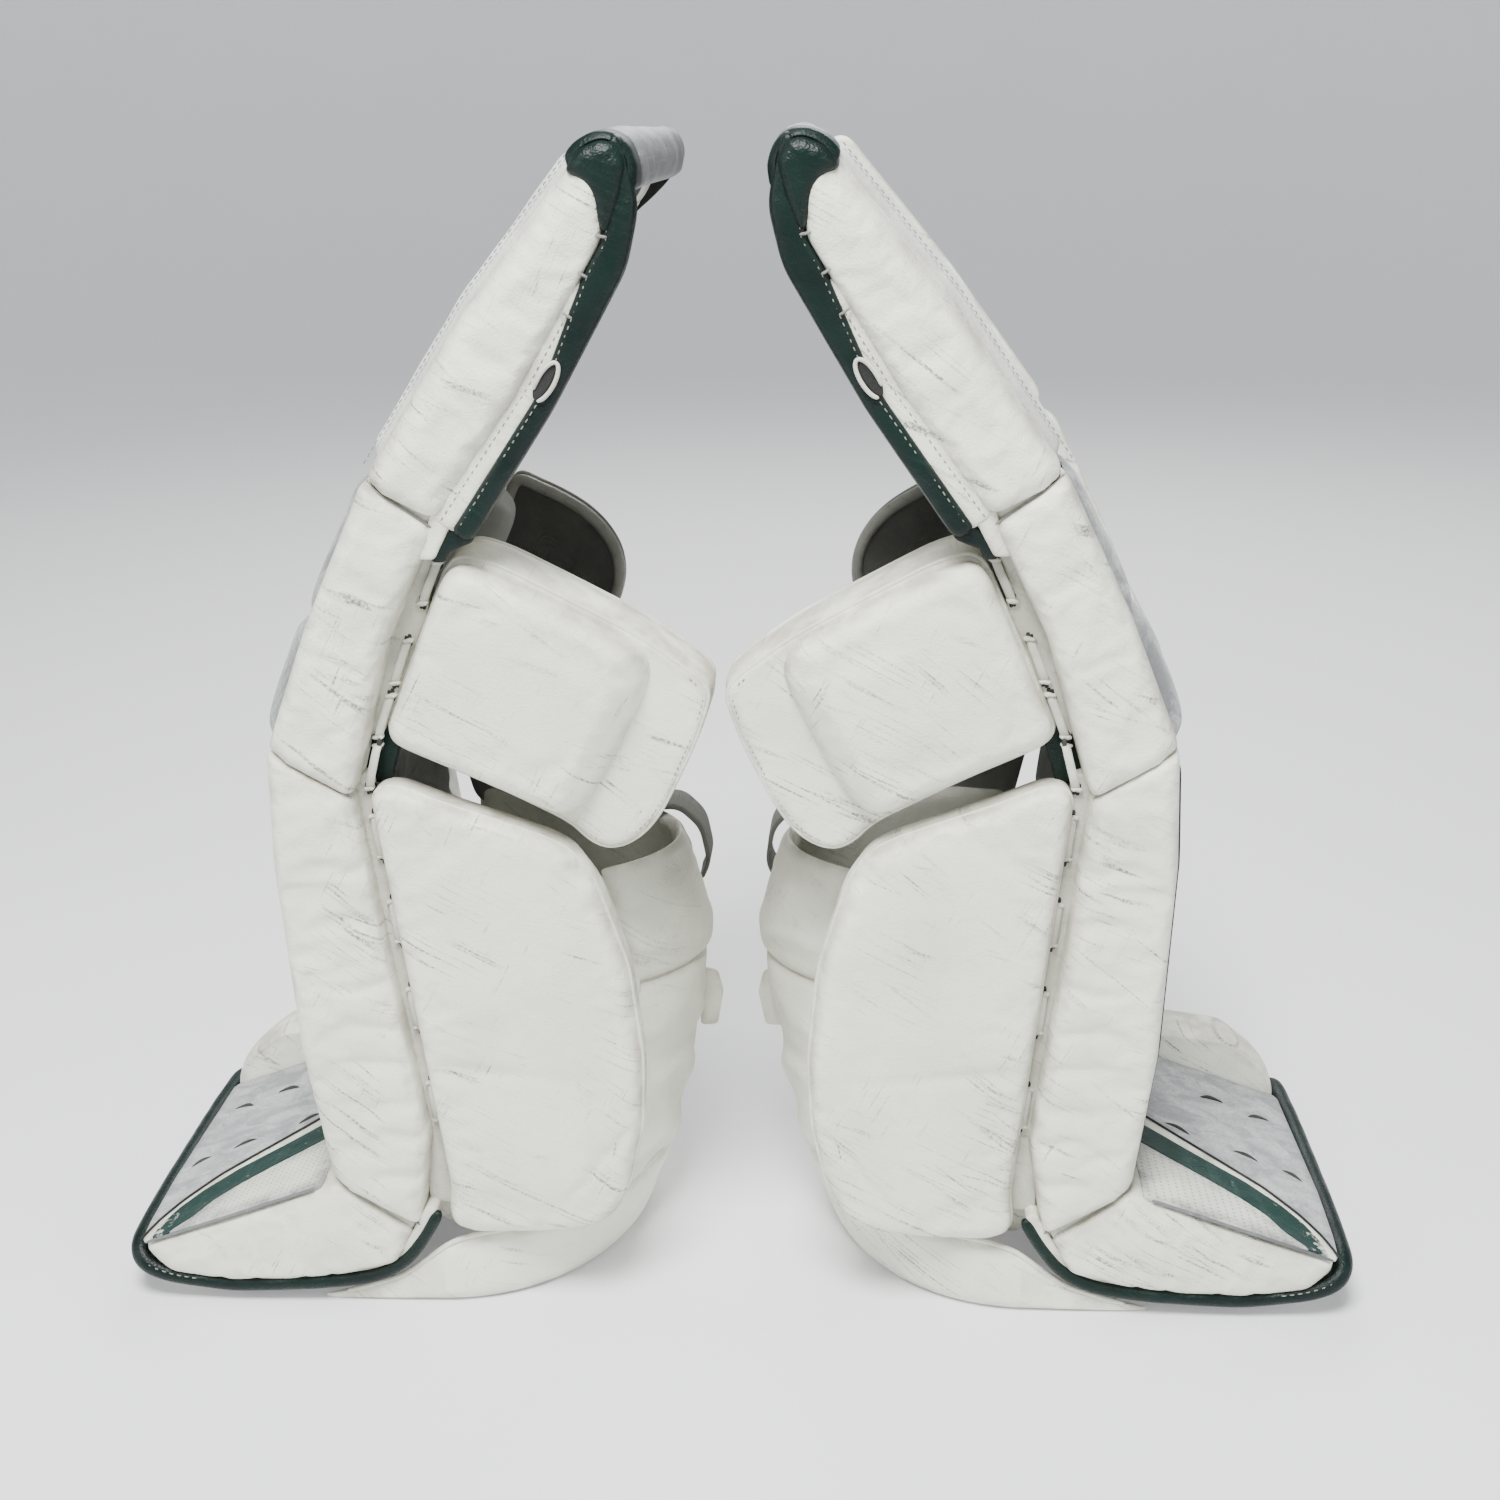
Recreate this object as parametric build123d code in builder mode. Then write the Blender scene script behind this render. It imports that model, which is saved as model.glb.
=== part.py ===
"""A pair of ice-hockey goalie leg pads standing back to back.

The left pad is drawn piece by piece, with its sliding face towards -X and its
knee block side towards -Y. The right pad is its mirror image about X = 0.
Each pad has three stiff lengths, boot, leg and thigh rise, that flex at two
breaks, with wings and a wrap laced on behind. Millimetres, +Z up.
"""
from build123d import *
import os
from math import atan2, cos, degrees, hypot, radians, sin

os.makedirs("parts", exist_ok=True)

# ---------------------------------------------------------------- widths, along Y
half_width = 140      # a pad is 280 mm wide
roll_width = 55       # side roll and outer roll, each side of the core
core_half = half_width - roll_width
face_skin = 3         # leather face over the core
outer_proud = 24      # how far the outer roll stands in front of the face
flange_inner = 104    # the laced flange beside the side roll, measured from the middle
flange_outer = 116
flange_width = 6
wing_outer = 139      # calf wing
wing_inner = 108
block_inner = 60      # knee block: base, then raised pad
block_face = 118
block_pad_face = 139
soft_edge = 9         # chamfer that stands for a puffed edge
lace_size = (2.4, 4, 28)
face_setback = 9      # the faces stop this far from a break, so that they never meet
thigh_face_thick = 9

# ------------------------------------------------- side view, (X, Z) of the left pad
toe_front = (-410, 45)
boot_middle_front = (-345, 66)
ankle_front = (-270, 96)      # axis of the ankle break
shin_low_front = (-283, 195)
shin_middle_front = (-289, 330)
shin_top_front = (-286, 407)
knee_middle_front = (-254, 488)
knee_front = (-211, 578)      # axis of the break above the knee
thigh_middle_front = (-142, 679)
thigh_top_front = (-72, 764)

ankle_back = (-212, 62)
shin_low_back = (-202, 130)
shin_middle_back = (-220, 265)
shin_top_back = (-233, 376)
knee_middle_back = (-204, 478)
knee_back = (-169, 550)
thigh_middle_back = (-110, 632)
thigh_top_back = (-57, 718)
thigh_corner_back = (-58, 754)

thigh_gap = 6         # degrees of open wedge above the knee break
ankle_gap = 6         # degrees of open wedge behind the ankle break
roll_notch = 13       # degrees cut from the outer roll each side of a break


def span(start, end):
    """Distance between two points of the side view."""
    return hypot(end[0] - start[0], end[1] - start[1])


def swung(pivot, target, angle, reach=None):
    """The point target turned about pivot, or one at another reach from it."""
    heading = atan2(target[1] - pivot[1], target[0] - pivot[0]) + radians(angle)
    distance = reach if reach else span(pivot, target)
    return (pivot[0] + distance * cos(heading), pivot[1] + distance * sin(heading))


def lifted(points, offset):
    """A run of points moved to the left of its own direction by offset."""
    moved = swung(points[0], points[-1], 90, offset)
    return [(x + moved[0] - points[0][0], z + moved[1] - points[0][1]) for x, z in points]


def at_y(y):
    """The side-view plane at one Y. A sketch on it extrudes towards -Y."""
    return Plane.XZ.offset(-y)


def medial_edges(part):
    """Edges round the face that looks towards -Y."""
    return part.faces().sort_by(Axis.Y)[0].edges()


def lateral_edges(part):
    """Edges round the face that looks towards +Y."""
    return part.faces().sort_by(Axis.Y)[-1].edges()


# ------------------------------------------------------------------------------- leg
shin_front = [ankle_front, shin_low_front, shin_middle_front, shin_top_front]
knee_front_edge = [shin_top_front, knee_middle_front, knee_front]
knee_back_edge = [knee_back, knee_middle_back, shin_top_back]
shin_back = [shin_top_back, shin_middle_back, shin_low_back, ankle_back]

with BuildPart() as leg_core:
    with BuildSketch(at_y(core_half)):
        with BuildLine():
            Polyline(*shin_front, *knee_front_edge[1:], *knee_back_edge, *shin_back[1:], close=True)
        make_face()
    extrude(amount=2 * core_half)
leg_core.part.label = "leg_core"

with BuildPart() as shin_side_roll:
    with BuildSketch(at_y(-core_half)):
        with BuildLine():
            Polyline(*shin_front, *shin_back, close=True)
        make_face()
    extrude(amount=roll_width)
    chamfer(medial_edges(shin_side_roll.part), soft_edge)
shin_side_roll.part.label = "shin_side_roll"

with BuildPart() as knee_side_roll:
    with BuildSketch(at_y(-core_half)):
        with BuildLine():
            Polyline(*knee_front_edge, *knee_back_edge, close=True)
        make_face()
    extrude(amount=roll_width)
    chamfer(medial_edges(knee_side_roll.part), soft_edge)
knee_side_roll.part.label = "knee_side_roll"

# The face is one sheet of leather over the shin, and the knee rolls carry on above it.
leg_face_line = [swung(ankle_front, shin_low_front, 0, face_setback), *shin_front[1:]]
with BuildPart() as leg_face:
    with BuildSketch(at_y(core_half)):
        with BuildLine():
            Polyline(*leg_face_line, *[(x - face_skin, z) for x, z in reversed(leg_face_line)],
                     close=True)
        make_face()
    extrude(amount=2 * core_half)
leg_face.part.label = "leg_face"

# Two soft rolls cross the front of the knee, one each side of its slight bend.
knee_roll_proud = 22
upper_roll_height = 84
upper_roll_top = swung(knee_middle_front, knee_front, 0, upper_roll_height)
with BuildPart() as knee_rolls:
    for low, high in ((shin_top_front, knee_middle_front), (knee_middle_front, upper_roll_top)):
        roll_start = swung(low, high, 0, 2)
        crown = lifted([swung(low, high, 0, 18), swung(high, low, 0, 18)], knee_roll_proud)
        shoulder = lifted([swung(low, high, 0, 6), swung(high, low, 0, 6)], knee_roll_proud * 0.7)
        with BuildSketch(at_y(core_half)):
            with BuildLine():
                Polyline(roll_start, shoulder[0], crown[0], crown[1], shoulder[1], high, close=True)
            make_face()
        extrude(amount=2 * core_half)
knee_rolls.part.label = "knee_rolls"

# The outer roll stands proud of the face on the lateral side and is notched at the breaks.
roll_low = swung(ankle_front, ankle_back, 180 - roll_notch, outer_proud)
roll_high = swung(knee_front, knee_back, 180 + roll_notch, outer_proud)
with BuildPart() as leg_outer_roll:
    with BuildSketch(at_y(half_width)):
        with BuildLine():
            Polyline(roll_low, *[(x - outer_proud, z) for x, z in shin_front[1:]],
                     (knee_middle_front[0] - outer_proud, knee_middle_front[1] + 6), roll_high,
                     knee_front, *knee_back_edge, *shin_back[1:], ankle_front, close=True)
        make_face()
    extrude(amount=roll_width)
    chamfer(lateral_edges(leg_outer_roll.part), soft_edge)
leg_outer_roll.part.label = "leg_outer_roll"

liner_thick = 9
liner_line = [knee_back, knee_middle_back, shin_top_back, shin_middle_back, shin_low_back]
with BuildPart() as leg_liner:
    with BuildSketch(at_y(core_half)):
        with BuildLine():
            Polyline(*liner_line, *[(x + liner_thick, z) for x, z in reversed(liner_line[1:-1])],
                     close=True)
        make_face()
    extrude(amount=core_half + block_inner - 4)
leg_liner.part.label = "leg_liner"

# Narrow flange behind the side roll, with green binding, that carries the laces.
flange_line = [(-176, 535), knee_middle_back, shin_top_back, shin_middle_back, shin_low_back, (-205, 96)]
with BuildPart() as edge_binding:
    with BuildSketch(at_y(-flange_inner)):
        with BuildLine():
            Polyline(*flange_line, *[(x + flange_width, z) for x, z in reversed(flange_line)],
                     close=True)
        make_face()
    extrude(amount=flange_outer - flange_inner)
edge_binding.part.label = "edge_binding"

# Flat leather laces show as short loops lying along the flange.
knee_lace_heights = [512, 461, 425]
calf_lace_heights = [392, 345, 285, 222, 152]
lace_shift = 0.3         # the laces lie this far behind the middle of the flange
with BuildPart() as wing_laces:
    for height in knee_lace_heights + calf_lace_heights:
        above = [point for point in flange_line if point[1] >= height][-1]
        below = [point for point in flange_line if point[1] < height][0]
        lean = (above[0] - below[0]) / (above[1] - below[1])
        centre = (below[0] + lean * (height - below[1]) + flange_width / 2 + lace_shift, height)
        tilt = degrees(atan2(above[0] - below[0], above[1] - below[1]))
        with Locations(Location((centre[0], -flange_outer - lace_size[0] / 2, centre[1]), (0, tilt, 0))):
            Box(lace_size[1], lace_size[0], lace_size[2])
wing_laces.part.label = "wing_laces"

# Padded bolster on the lateral side of the knee cradle.
cradle_line = [(-165, 541), (-195, 479), (-218, 424)]
cradle_thick = 26
cradle_width = 52
with BuildPart() as knee_cradle:
    with BuildSketch(at_y(core_half - 1)):
        with BuildLine():
            Polyline(*cradle_line, (cradle_line[2][0] + cradle_thick, cradle_line[2][1] + 6),
                     (cradle_line[1][0] + cradle_thick, cradle_line[1][1] - 6),
                     (cradle_line[0][0] + 12, cradle_line[0][1] - 12), close=True)
        make_face()
    extrude(amount=cradle_width)
    chamfer(medial_edges(knee_cradle.part), 6)
    add(leg_liner.part, mode=Mode.SUBTRACT)
knee_cradle.part.label = "knee_cradle"

# ----------------------------------------------------------------------- thigh rise
thigh_front = [knee_front, thigh_middle_front, thigh_top_front]
thigh_foot = swung(knee_front, knee_back, thigh_gap)
thigh_back = [thigh_corner_back, thigh_top_back, thigh_middle_back, thigh_foot]

with BuildPart() as thigh_core:
    with BuildSketch(at_y(core_half)):
        with BuildLine():
            Polyline(*thigh_front, *thigh_back, close=True)
        make_face()
    extrude(amount=2 * core_half)
thigh_core.part.label = "thigh_core"

thigh_face_line = [swung(knee_front, thigh_middle_front, 0, face_setback), *thigh_front[1:]]
with BuildPart() as thigh_face:
    with BuildSketch(at_y(core_half)):
        with BuildLine():
            Polyline(*thigh_face_line, *reversed(lifted(thigh_face_line, thigh_face_thick)), close=True)
        make_face()
    extrude(amount=2 * core_half)
thigh_face.part.label = "thigh_face"

with BuildPart() as thigh_side_roll:
    with BuildSketch(at_y(-core_half)):
        with BuildLine():
            Polyline(*thigh_front, *thigh_back, close=True)
        make_face()
    extrude(amount=roll_width)
    chamfer(medial_edges(thigh_side_roll.part), soft_edge)
thigh_side_roll.part.label = "thigh_side_roll"

thigh_roll_low = swung(knee_front, knee_back, 180 - roll_notch, outer_proud)
thigh_roll_line = lifted(thigh_front, outer_proud - 4)
with BuildPart() as thigh_outer_roll:
    with BuildSketch(at_y(half_width)):
        with BuildLine():
            Polyline(knee_front, thigh_roll_low, *thigh_roll_line[1:], thigh_top_front, *thigh_back,
                     close=True)
        make_face()
    extrude(amount=roll_width)
    chamfer(lateral_edges(thigh_outer_roll.part), soft_edge)
thigh_outer_roll.part.label = "thigh_outer_roll"

thigh_pad_line = [thigh_foot, thigh_middle_back, thigh_top_back]
pad_reach = 13
pad_inset = 12
with BuildPart() as thigh_back_pad:
    with BuildSketch(at_y(half_width - pad_inset)):
        with BuildLine():
            Polyline(*thigh_pad_line, (thigh_top_back[0] + pad_reach, thigh_top_back[1] - 6),
                     (thigh_middle_back[0] + pad_reach, thigh_middle_back[1] - pad_reach * 0.8),
                     swung(knee_front, thigh_foot, 0, span(knee_front, thigh_foot) + pad_reach),
                     close=True)
        make_face()
    extrude(amount=2 * (half_width - pad_inset))
    chamfer(thigh_back_pad.faces().sort_by(Axis.X)[-1].edges().filter_by(Axis.Y), 3)
thigh_back_pad.part.label = "thigh_back_pad"

# Green binding: a flap behind the roll down both long edges, joined over the top.
binding_thick = 8
binding_reach = 22
binding_line = [(-55, 764), thigh_corner_back, thigh_top_back, thigh_middle_back, thigh_foot]
binding_back = [swung(knee_front, thigh_foot, 0, span(knee_front, thigh_foot) + binding_reach),
                (-92, 620), (-45, 701), (-37, 735), (-41, 768), (-50, 775)]
with BuildPart() as thigh_binding:
    for side in (half_width - 2, binding_thick + 2 - half_width):
        with BuildSketch(at_y(side)):
            with BuildLine():
                Polyline(*binding_line, *binding_back, close=True)
            make_face()
        extrude(amount=binding_thick)
    with BuildSketch(at_y(half_width - 2)):
        with BuildLine():
            Polyline(thigh_top_front, (-64, 774), (-50, 778), (-42, 768), thigh_corner_back,
                     close=True)
        make_face()
    extrude(amount=2 * half_width - 4)
thigh_binding.part.label = "thigh_binding"

# ----------------------------------------------------------------------------- boot
boot_foot = swung(ankle_front, ankle_back, -ankle_gap)
boot_sole = [(-206, 44), (-230, 31), (-262, 22), (-300, 17), (-350, 15), (-392, 21), (-404, 33)]
boot_outline = [toe_front, boot_middle_front, ankle_front, boot_foot, *boot_sole[1:]]

with BuildPart() as boot_core:
    with BuildSketch(at_y(core_half)):
        with BuildLine():
            Polyline(*boot_outline, close=True)
        make_face()
    extrude(amount=2 * core_half)
boot_core.part.label = "boot_core"

with BuildPart() as boot_side_panel:
    with BuildSketch(at_y(-core_half)):
        with BuildLine():
            Polyline(*boot_outline, close=True)
        make_face()
    extrude(amount=roll_width)
    chamfer(medial_edges(boot_side_panel.part), 4)
boot_side_panel.part.label = "boot_side_panel"

boot_face_line = [toe_front, boot_middle_front, swung(ankle_front, boot_middle_front, 0, face_setback)]
with BuildPart() as boot_face:
    with BuildSketch(at_y(core_half)):
        with BuildLine():
            Polyline(*boot_face_line, *reversed(lifted(boot_face_line, face_skin)), close=True)
        make_face()
    extrude(amount=2 * core_half)
boot_face.part.label = "boot_face"

boot_roll_end = swung(ankle_front, ankle_back, 180 + roll_notch, outer_proud)
with BuildPart() as boot_outer_roll:
    with BuildSketch(at_y(half_width)):
        with BuildLine():
            Polyline((-404, 33), toe_front, (-404, 66), (-372, 92), boot_roll_end,
                     ankle_front, boot_foot, *boot_sole[1:-1], close=True)
        make_face()
    extrude(amount=roll_width)
    chamfer(lateral_edges(boot_outer_roll.part), 6)
boot_outer_roll.part.label = "boot_outer_roll"

# Green binding under the rim of the boot, round the toe and down both sides.
rim_drop = 7
rim_width = 12
rim_line = [(-392, 21), *reversed(boot_sole[1:-2]), (-209, 46)]
with BuildPart() as boot_binding:
    for side in (half_width - 1, rim_width + 1 - half_width):
        with BuildSketch(at_y(side)):
            with BuildLine():
                Polyline(*rim_line, *[(x, z - rim_drop) for x, z in reversed(rim_line)], close=True)
            make_face()
        extrude(amount=rim_width)
    with BuildSketch(at_y(half_width - 1)):
        with BuildLine():
            Polyline(toe_front, (-422, 48), (-425, 34), (-414, 20), (-400, 16),
                     (-392, 14), (-392, 21), (-404, 33), close=True)
        make_face()
    extrude(amount=2 * half_width - 2)
boot_binding.part.label = "boot_binding"

# ----------------------------------------------------------------------- knee block
block_hinge_low = (-214, 411)
block_hinge_high = (-162, 530)
block_outline = [block_hinge_low, block_hinge_high, (-138, 524), (-96, 502), (-48, 476), (-14, 451),
                 (-5, 441), (-7, 431), (-16, 405), (-39, 358), (-54, 341), (-72, 334),
                 (-86, 341), (-96, 353), (-150, 381)]
block_back_edge = 8
with BuildPart() as knee_block_base:
    with BuildSketch(at_y(-block_inner)):
        with BuildLine():
            Polyline(*block_outline, close=True)
        make_face()
    extrude(amount=block_face - block_inner)
    chamfer(lateral_edges(knee_block_base.part), block_back_edge)
knee_block_base.part.label = "knee_block_base"

block_pad_outline = [(-212, 411), (-162, 527), (-140, 520), (-105, 503), (-62, 480), (-45, 469),
                     (-41, 456), (-44, 442), (-73, 384), (-87, 364), (-101, 360), (-150, 383)]
with BuildPart() as knee_block_pad:
    with BuildSketch(at_y(-block_face)):
        with BuildLine():
            Polyline(*block_pad_outline, close=True)
        make_face()
    extrude(amount=block_pad_face - block_face)
    chamfer(medial_edges(knee_block_pad.part), 6)
knee_block_pad.part.label = "knee_block_pad"

# ------------------------------------------------------------------------ calf wing
wing_hinge_low = (-189, 90)
wing_hinge_high = (-222, 379)
wing_outline = [wing_hinge_high, wing_hinge_low,
                (-184, 64), (-170, 58), (-129, 56), (-92, 61), (-77, 73), (-66, 98), (-57, 140),
                (-55, 190), (-62, 256), (-81, 316), (-96, 338), (-111, 346), (-141, 357),
                (-175, 369), (-206, 382)]
with BuildPart() as calf_wing:
    with BuildSketch(at_y(-wing_inner)):
        with BuildLine():
            Polyline(*wing_outline, close=True)
        make_face()
    extrude(amount=wing_outer - wing_inner)
    chamfer(medial_edges(calf_wing.part), soft_edge)
calf_wing.part.label = "calf_wing"

# --------------------------------------------------- calf wrap, flap and heel piece
# The wrap is a padded U round the back of the leg. Its outside is half an ellipse at each
# height, given by how far it reaches behind and to the side of the leg's middle line,
# and straight walls carry it forward to the pad.
leg_middle = -200
wall_forward = 30
wrap_thick = 12
wrap_sections = {0: (128, 137), 60: (152, 131), 128: (170, 118), 240: (185, 104), 300: (168, 102)}
heel_top = 48
wrap_top = 300
flap_foot = 60
flap_front = -52
flap_hinge = (-20, 20)        # (X, Y) of the fold between flap and wrap
fold_gap = 10
boot_clearance = 12   # the wrap's front corner stays this far above the boot


def wrap_solid(inset, low, high):
    """The wrap's outside moved in by inset, between two heights."""
    with BuildPart() as shape:
        for height, (behind, beside_leg) in wrap_sections.items():
            with BuildSketch(Plane((leg_middle, 0, height))):
                Ellipse(behind - inset, beside_leg - inset)
                with Locations((-wall_forward, 0)):
                    Rectangle(2 * wall_forward, 2 * (beside_leg - inset))
                with Locations((-2 * wall_forward - 200, 0)):
                    Rectangle(400, 400, mode=Mode.SUBTRACT)
        loft(ruled=True)
        with Locations((leg_middle, 0, (low + high) / 2)):
            Box(600, 400, high - low, mode=Mode.INTERSECT)
    return shape.part


def upright_block(low_x, high_x, low_y, high_y):
    """A tall block over one stretch of the wrap, seen from above."""
    with BuildPart() as block:
        with Locations(((low_x + high_x) / 2, (low_y + high_y) / 2, wrap_top / 2)):
            Box(high_x - low_x, high_y - low_y, wrap_top + 20)
    return block.part


with BuildPart() as calf_wrap:
    add(wrap_solid(0, flap_foot, wrap_top))
    add(wrap_solid(wrap_thick, flap_foot, wrap_top), mode=Mode.SUBTRACT)
    add(upright_block(-214, 0, flap_hinge[1] + fold_gap / 2, half_width), mode=Mode.INTERSECT)
    add(leg_outer_roll.part, mode=Mode.SUBTRACT)
    add(leg_core.part, mode=Mode.SUBTRACT)
    with Locations((-215, half_width / 2, flap_foot)):
        Box(40, half_width, 2 * boot_clearance, mode=Mode.SUBTRACT)
calf_wrap.part.label = "calf_wrap"

with BuildPart() as calf_flap:
    add(wrap_solid(0, flap_foot, wrap_top))
    add(wrap_solid(wrap_thick, flap_foot, wrap_top), mode=Mode.SUBTRACT)
    add(upright_block(flap_front, 0, -half_width, flap_hinge[1] - fold_gap / 2), mode=Mode.INTERSECT)
calf_flap.part.label = "calf_flap"

# The heel piece closes the U at the floor, and runs forward under the rim of the boot.
heel_wall_top = [(-178, heel_top), (-195, heel_top - 6), (-209, 32), (-230, 17), (-262, 8), (-285, 5)]
with BuildPart() as heel_piece:
    add(wrap_solid(0, 0, heel_top))
    add(wrap_solid(wrap_thick, 0, heel_top), mode=Mode.SUBTRACT)
    add(upright_block(-180, 0, -half_width, half_width), mode=Mode.INTERSECT)
    for side in (half_width - 4, wrap_thick + 4 - half_width):
        with BuildSketch(at_y(side)):
            with BuildLine():
                Polyline(*heel_wall_top, (-285, 0), (-178, 0), close=True)
            make_face()
        extrude(amount=wrap_thick)
heel_piece.part.label = "heel_piece"

# A webbing strap turned over the top of the wrap as a loop.
strap_thick = 3
strap_edges = (34, 72)
strap_line = [(-57, 302), (-42, 303), (-28, 289), (-24, 264), (-36, 240)]
strap_side = [(-57, 302 + strap_thick), (-41, 303 + strap_thick), (-26, 291), (-21, 264), (-33, 238)]
with BuildPart() as strap_loop:
    with BuildSketch(at_y(strap_edges[1])):
        with BuildLine():
            Polyline(*strap_line, *reversed(strap_side), close=True)
        make_face()
    extrude(amount=strap_edges[1] - strap_edges[0])
    add(calf_wrap.part, mode=Mode.SUBTRACT)
strap_loop.part.label = "strap_loop"

# A pointed leather tab on the back of the wrap, to pull it open.
tab_hinge_x = -31
tab_edges = (34, 37)
with BuildPart() as pull_tab:
    with BuildSketch(at_y(tab_edges[1])):
        with BuildLine():
            Polyline((tab_hinge_x, 130), (-18, 131), (-13, 158), (-17, 175), (tab_hinge_x + 2, 178),
                     close=True)
        make_face()
    extrude(amount=tab_edges[1] - tab_edges[0])
pull_tab.part.label = "pull_tab"

# ------------------------------------------------------------------ outer knee wing
outer_hinge_low = (-205, 432)
outer_hinge_high = (-160, 538)
outer_wing_outline = [outer_hinge_low, outer_hinge_high, (-148, 531), (-130, 523), (-110, 511),
                      (-95, 496), (-85, 477), (-84, 455), (-92, 434), (-112, 420), (-150, 414)]
outer_wing_edges = (98, 132)
with BuildPart() as outer_knee_wing:
    with BuildSketch(at_y(outer_wing_edges[1])):
        with BuildLine():
            Polyline(*outer_wing_outline, close=True)
        make_face()
    extrude(amount=outer_wing_edges[1] - outer_wing_edges[0])
    chamfer(lateral_edges(outer_knee_wing.part), 6)
outer_knee_wing.part.label = "outer_knee_wing"

pieces = [leg_core, shin_side_roll, knee_side_roll, leg_face, knee_rolls, leg_outer_roll, leg_liner,
          edge_binding, wing_laces, knee_cradle, calf_wrap, heel_piece, strap_loop, pull_tab,
          thigh_core, thigh_face, thigh_side_roll, thigh_outer_roll, thigh_back_pad, thigh_binding,
          boot_core, boot_side_panel, boot_face, boot_outer_roll, boot_binding,
          knee_block_base, knee_block_pad, calf_wing, calf_flap, outer_knee_wing]

for piece in pieces:
    name = piece.part.label
    right = mirror(piece.part, about=Plane.YZ)
    piece.part.label = "left_" + name
    right.label = "right_" + name
    export_step(piece.part, f"parts/left_{name}.step")
    export_step(right, f"parts/right_{name}.step")
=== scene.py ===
import math

import bpy
import numpy as np
from mathutils import Matrix, Vector, noise
from mathutils.geometry import delaunay_2d_cdt


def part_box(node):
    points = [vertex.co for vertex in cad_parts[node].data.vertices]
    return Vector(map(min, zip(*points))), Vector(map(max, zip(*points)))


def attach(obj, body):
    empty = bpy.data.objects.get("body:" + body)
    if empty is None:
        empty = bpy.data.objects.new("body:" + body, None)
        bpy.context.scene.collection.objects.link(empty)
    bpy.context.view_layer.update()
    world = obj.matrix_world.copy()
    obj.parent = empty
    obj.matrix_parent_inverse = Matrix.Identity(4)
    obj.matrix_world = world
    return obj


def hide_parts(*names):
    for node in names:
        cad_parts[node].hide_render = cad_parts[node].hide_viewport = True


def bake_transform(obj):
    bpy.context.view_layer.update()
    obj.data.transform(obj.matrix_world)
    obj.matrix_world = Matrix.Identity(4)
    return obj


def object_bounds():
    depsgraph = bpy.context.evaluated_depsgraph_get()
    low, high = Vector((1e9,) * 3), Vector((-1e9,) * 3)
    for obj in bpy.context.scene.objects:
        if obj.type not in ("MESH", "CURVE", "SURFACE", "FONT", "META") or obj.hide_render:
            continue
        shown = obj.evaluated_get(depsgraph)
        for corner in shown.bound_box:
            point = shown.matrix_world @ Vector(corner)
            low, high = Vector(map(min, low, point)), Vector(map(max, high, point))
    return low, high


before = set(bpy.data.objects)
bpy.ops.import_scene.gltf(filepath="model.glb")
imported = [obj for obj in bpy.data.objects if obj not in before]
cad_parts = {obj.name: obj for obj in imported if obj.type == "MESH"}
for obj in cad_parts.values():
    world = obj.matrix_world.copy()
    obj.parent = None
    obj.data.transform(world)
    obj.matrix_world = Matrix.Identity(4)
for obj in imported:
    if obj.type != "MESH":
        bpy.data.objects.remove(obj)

# The pair of leg pads. Every piece is made for the left pad and mirrored to the right one.
# Lengths are metres. A side view is X and Z, and the medial side looks towards -Y.
cad_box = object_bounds()
MM = 0.001


# ------------------------------------------------------------------ shapes from the frame
def cad(node):
    """The box of a left CAD node."""
    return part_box("left_" + node)


def cad_points(node):
    """The vertices of a left CAD node."""
    return np.array([v.co[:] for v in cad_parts["left_" + node].data.vertices])


def outline(node, outer=False):
    """Side-view outline of a left CAD node, from its flat face nearest the pad's middle.

    With outer it is the flat face furthest from the middle. It goes clockwise.
    """
    points = cad_points(node)
    reach = np.abs(points[:, 1])
    level = points[reach.argmax() if outer else reach.argmin()][1]
    edges = set()
    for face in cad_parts["left_" + node].data.polygons:
        if all(abs(points[i][1] - level) < 0.05 * MM for i in face.vertices):
            ring = [tuple(np.round(points[i][[0, 2]] / MM, 1)) for i in face.vertices]
            edges.update(zip(ring, ring[1:] + ring[:1]))
    onward = {a: b for a, b in edges if (b, a) not in edges}
    loop = [min(onward, key=lambda p: (p[1], p[0]))]
    while onward[loop[-1]] != loop[0]:
        loop.append(onward[loop[-1]])
    loop = np.array([p for i, p in enumerate(loop) if np.hypot(*np.subtract(p, loop[i - 1])) > 4])
    return loop[::-1] * MM if area(loop) > 0 else loop * MM


def area(loop):
    """Signed area of a closed outline, positive if it goes anticlockwise."""
    x, z = loop[:, 0], loop[:, 1]
    return 0.5 * float(np.sum(x * np.roll(z, -1) - np.roll(x, -1) * z))


def corner(loop, x, z):
    """The outline's own corner nearest to a point given in millimetres."""
    return loop[np.linalg.norm(loop - np.array([x, z]) * MM, axis=1).argmin()]


def corners(loop, *points):
    """The outline's own corners nearest to some points given in millimetres."""
    return np.array([corner(loop, x, z) for x, z in points])


def run(loop, start, end):
    """The stretch of a clockwise outline between its corners nearest two points in millimetres."""
    first = np.linalg.norm(loop - np.array(start) * MM, axis=1).argmin()
    turned = np.roll(loop, -first, axis=0)
    last = np.linalg.norm(turned - np.array(end) * MM, axis=1).argmin()
    return turned[:last + 1]


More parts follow.
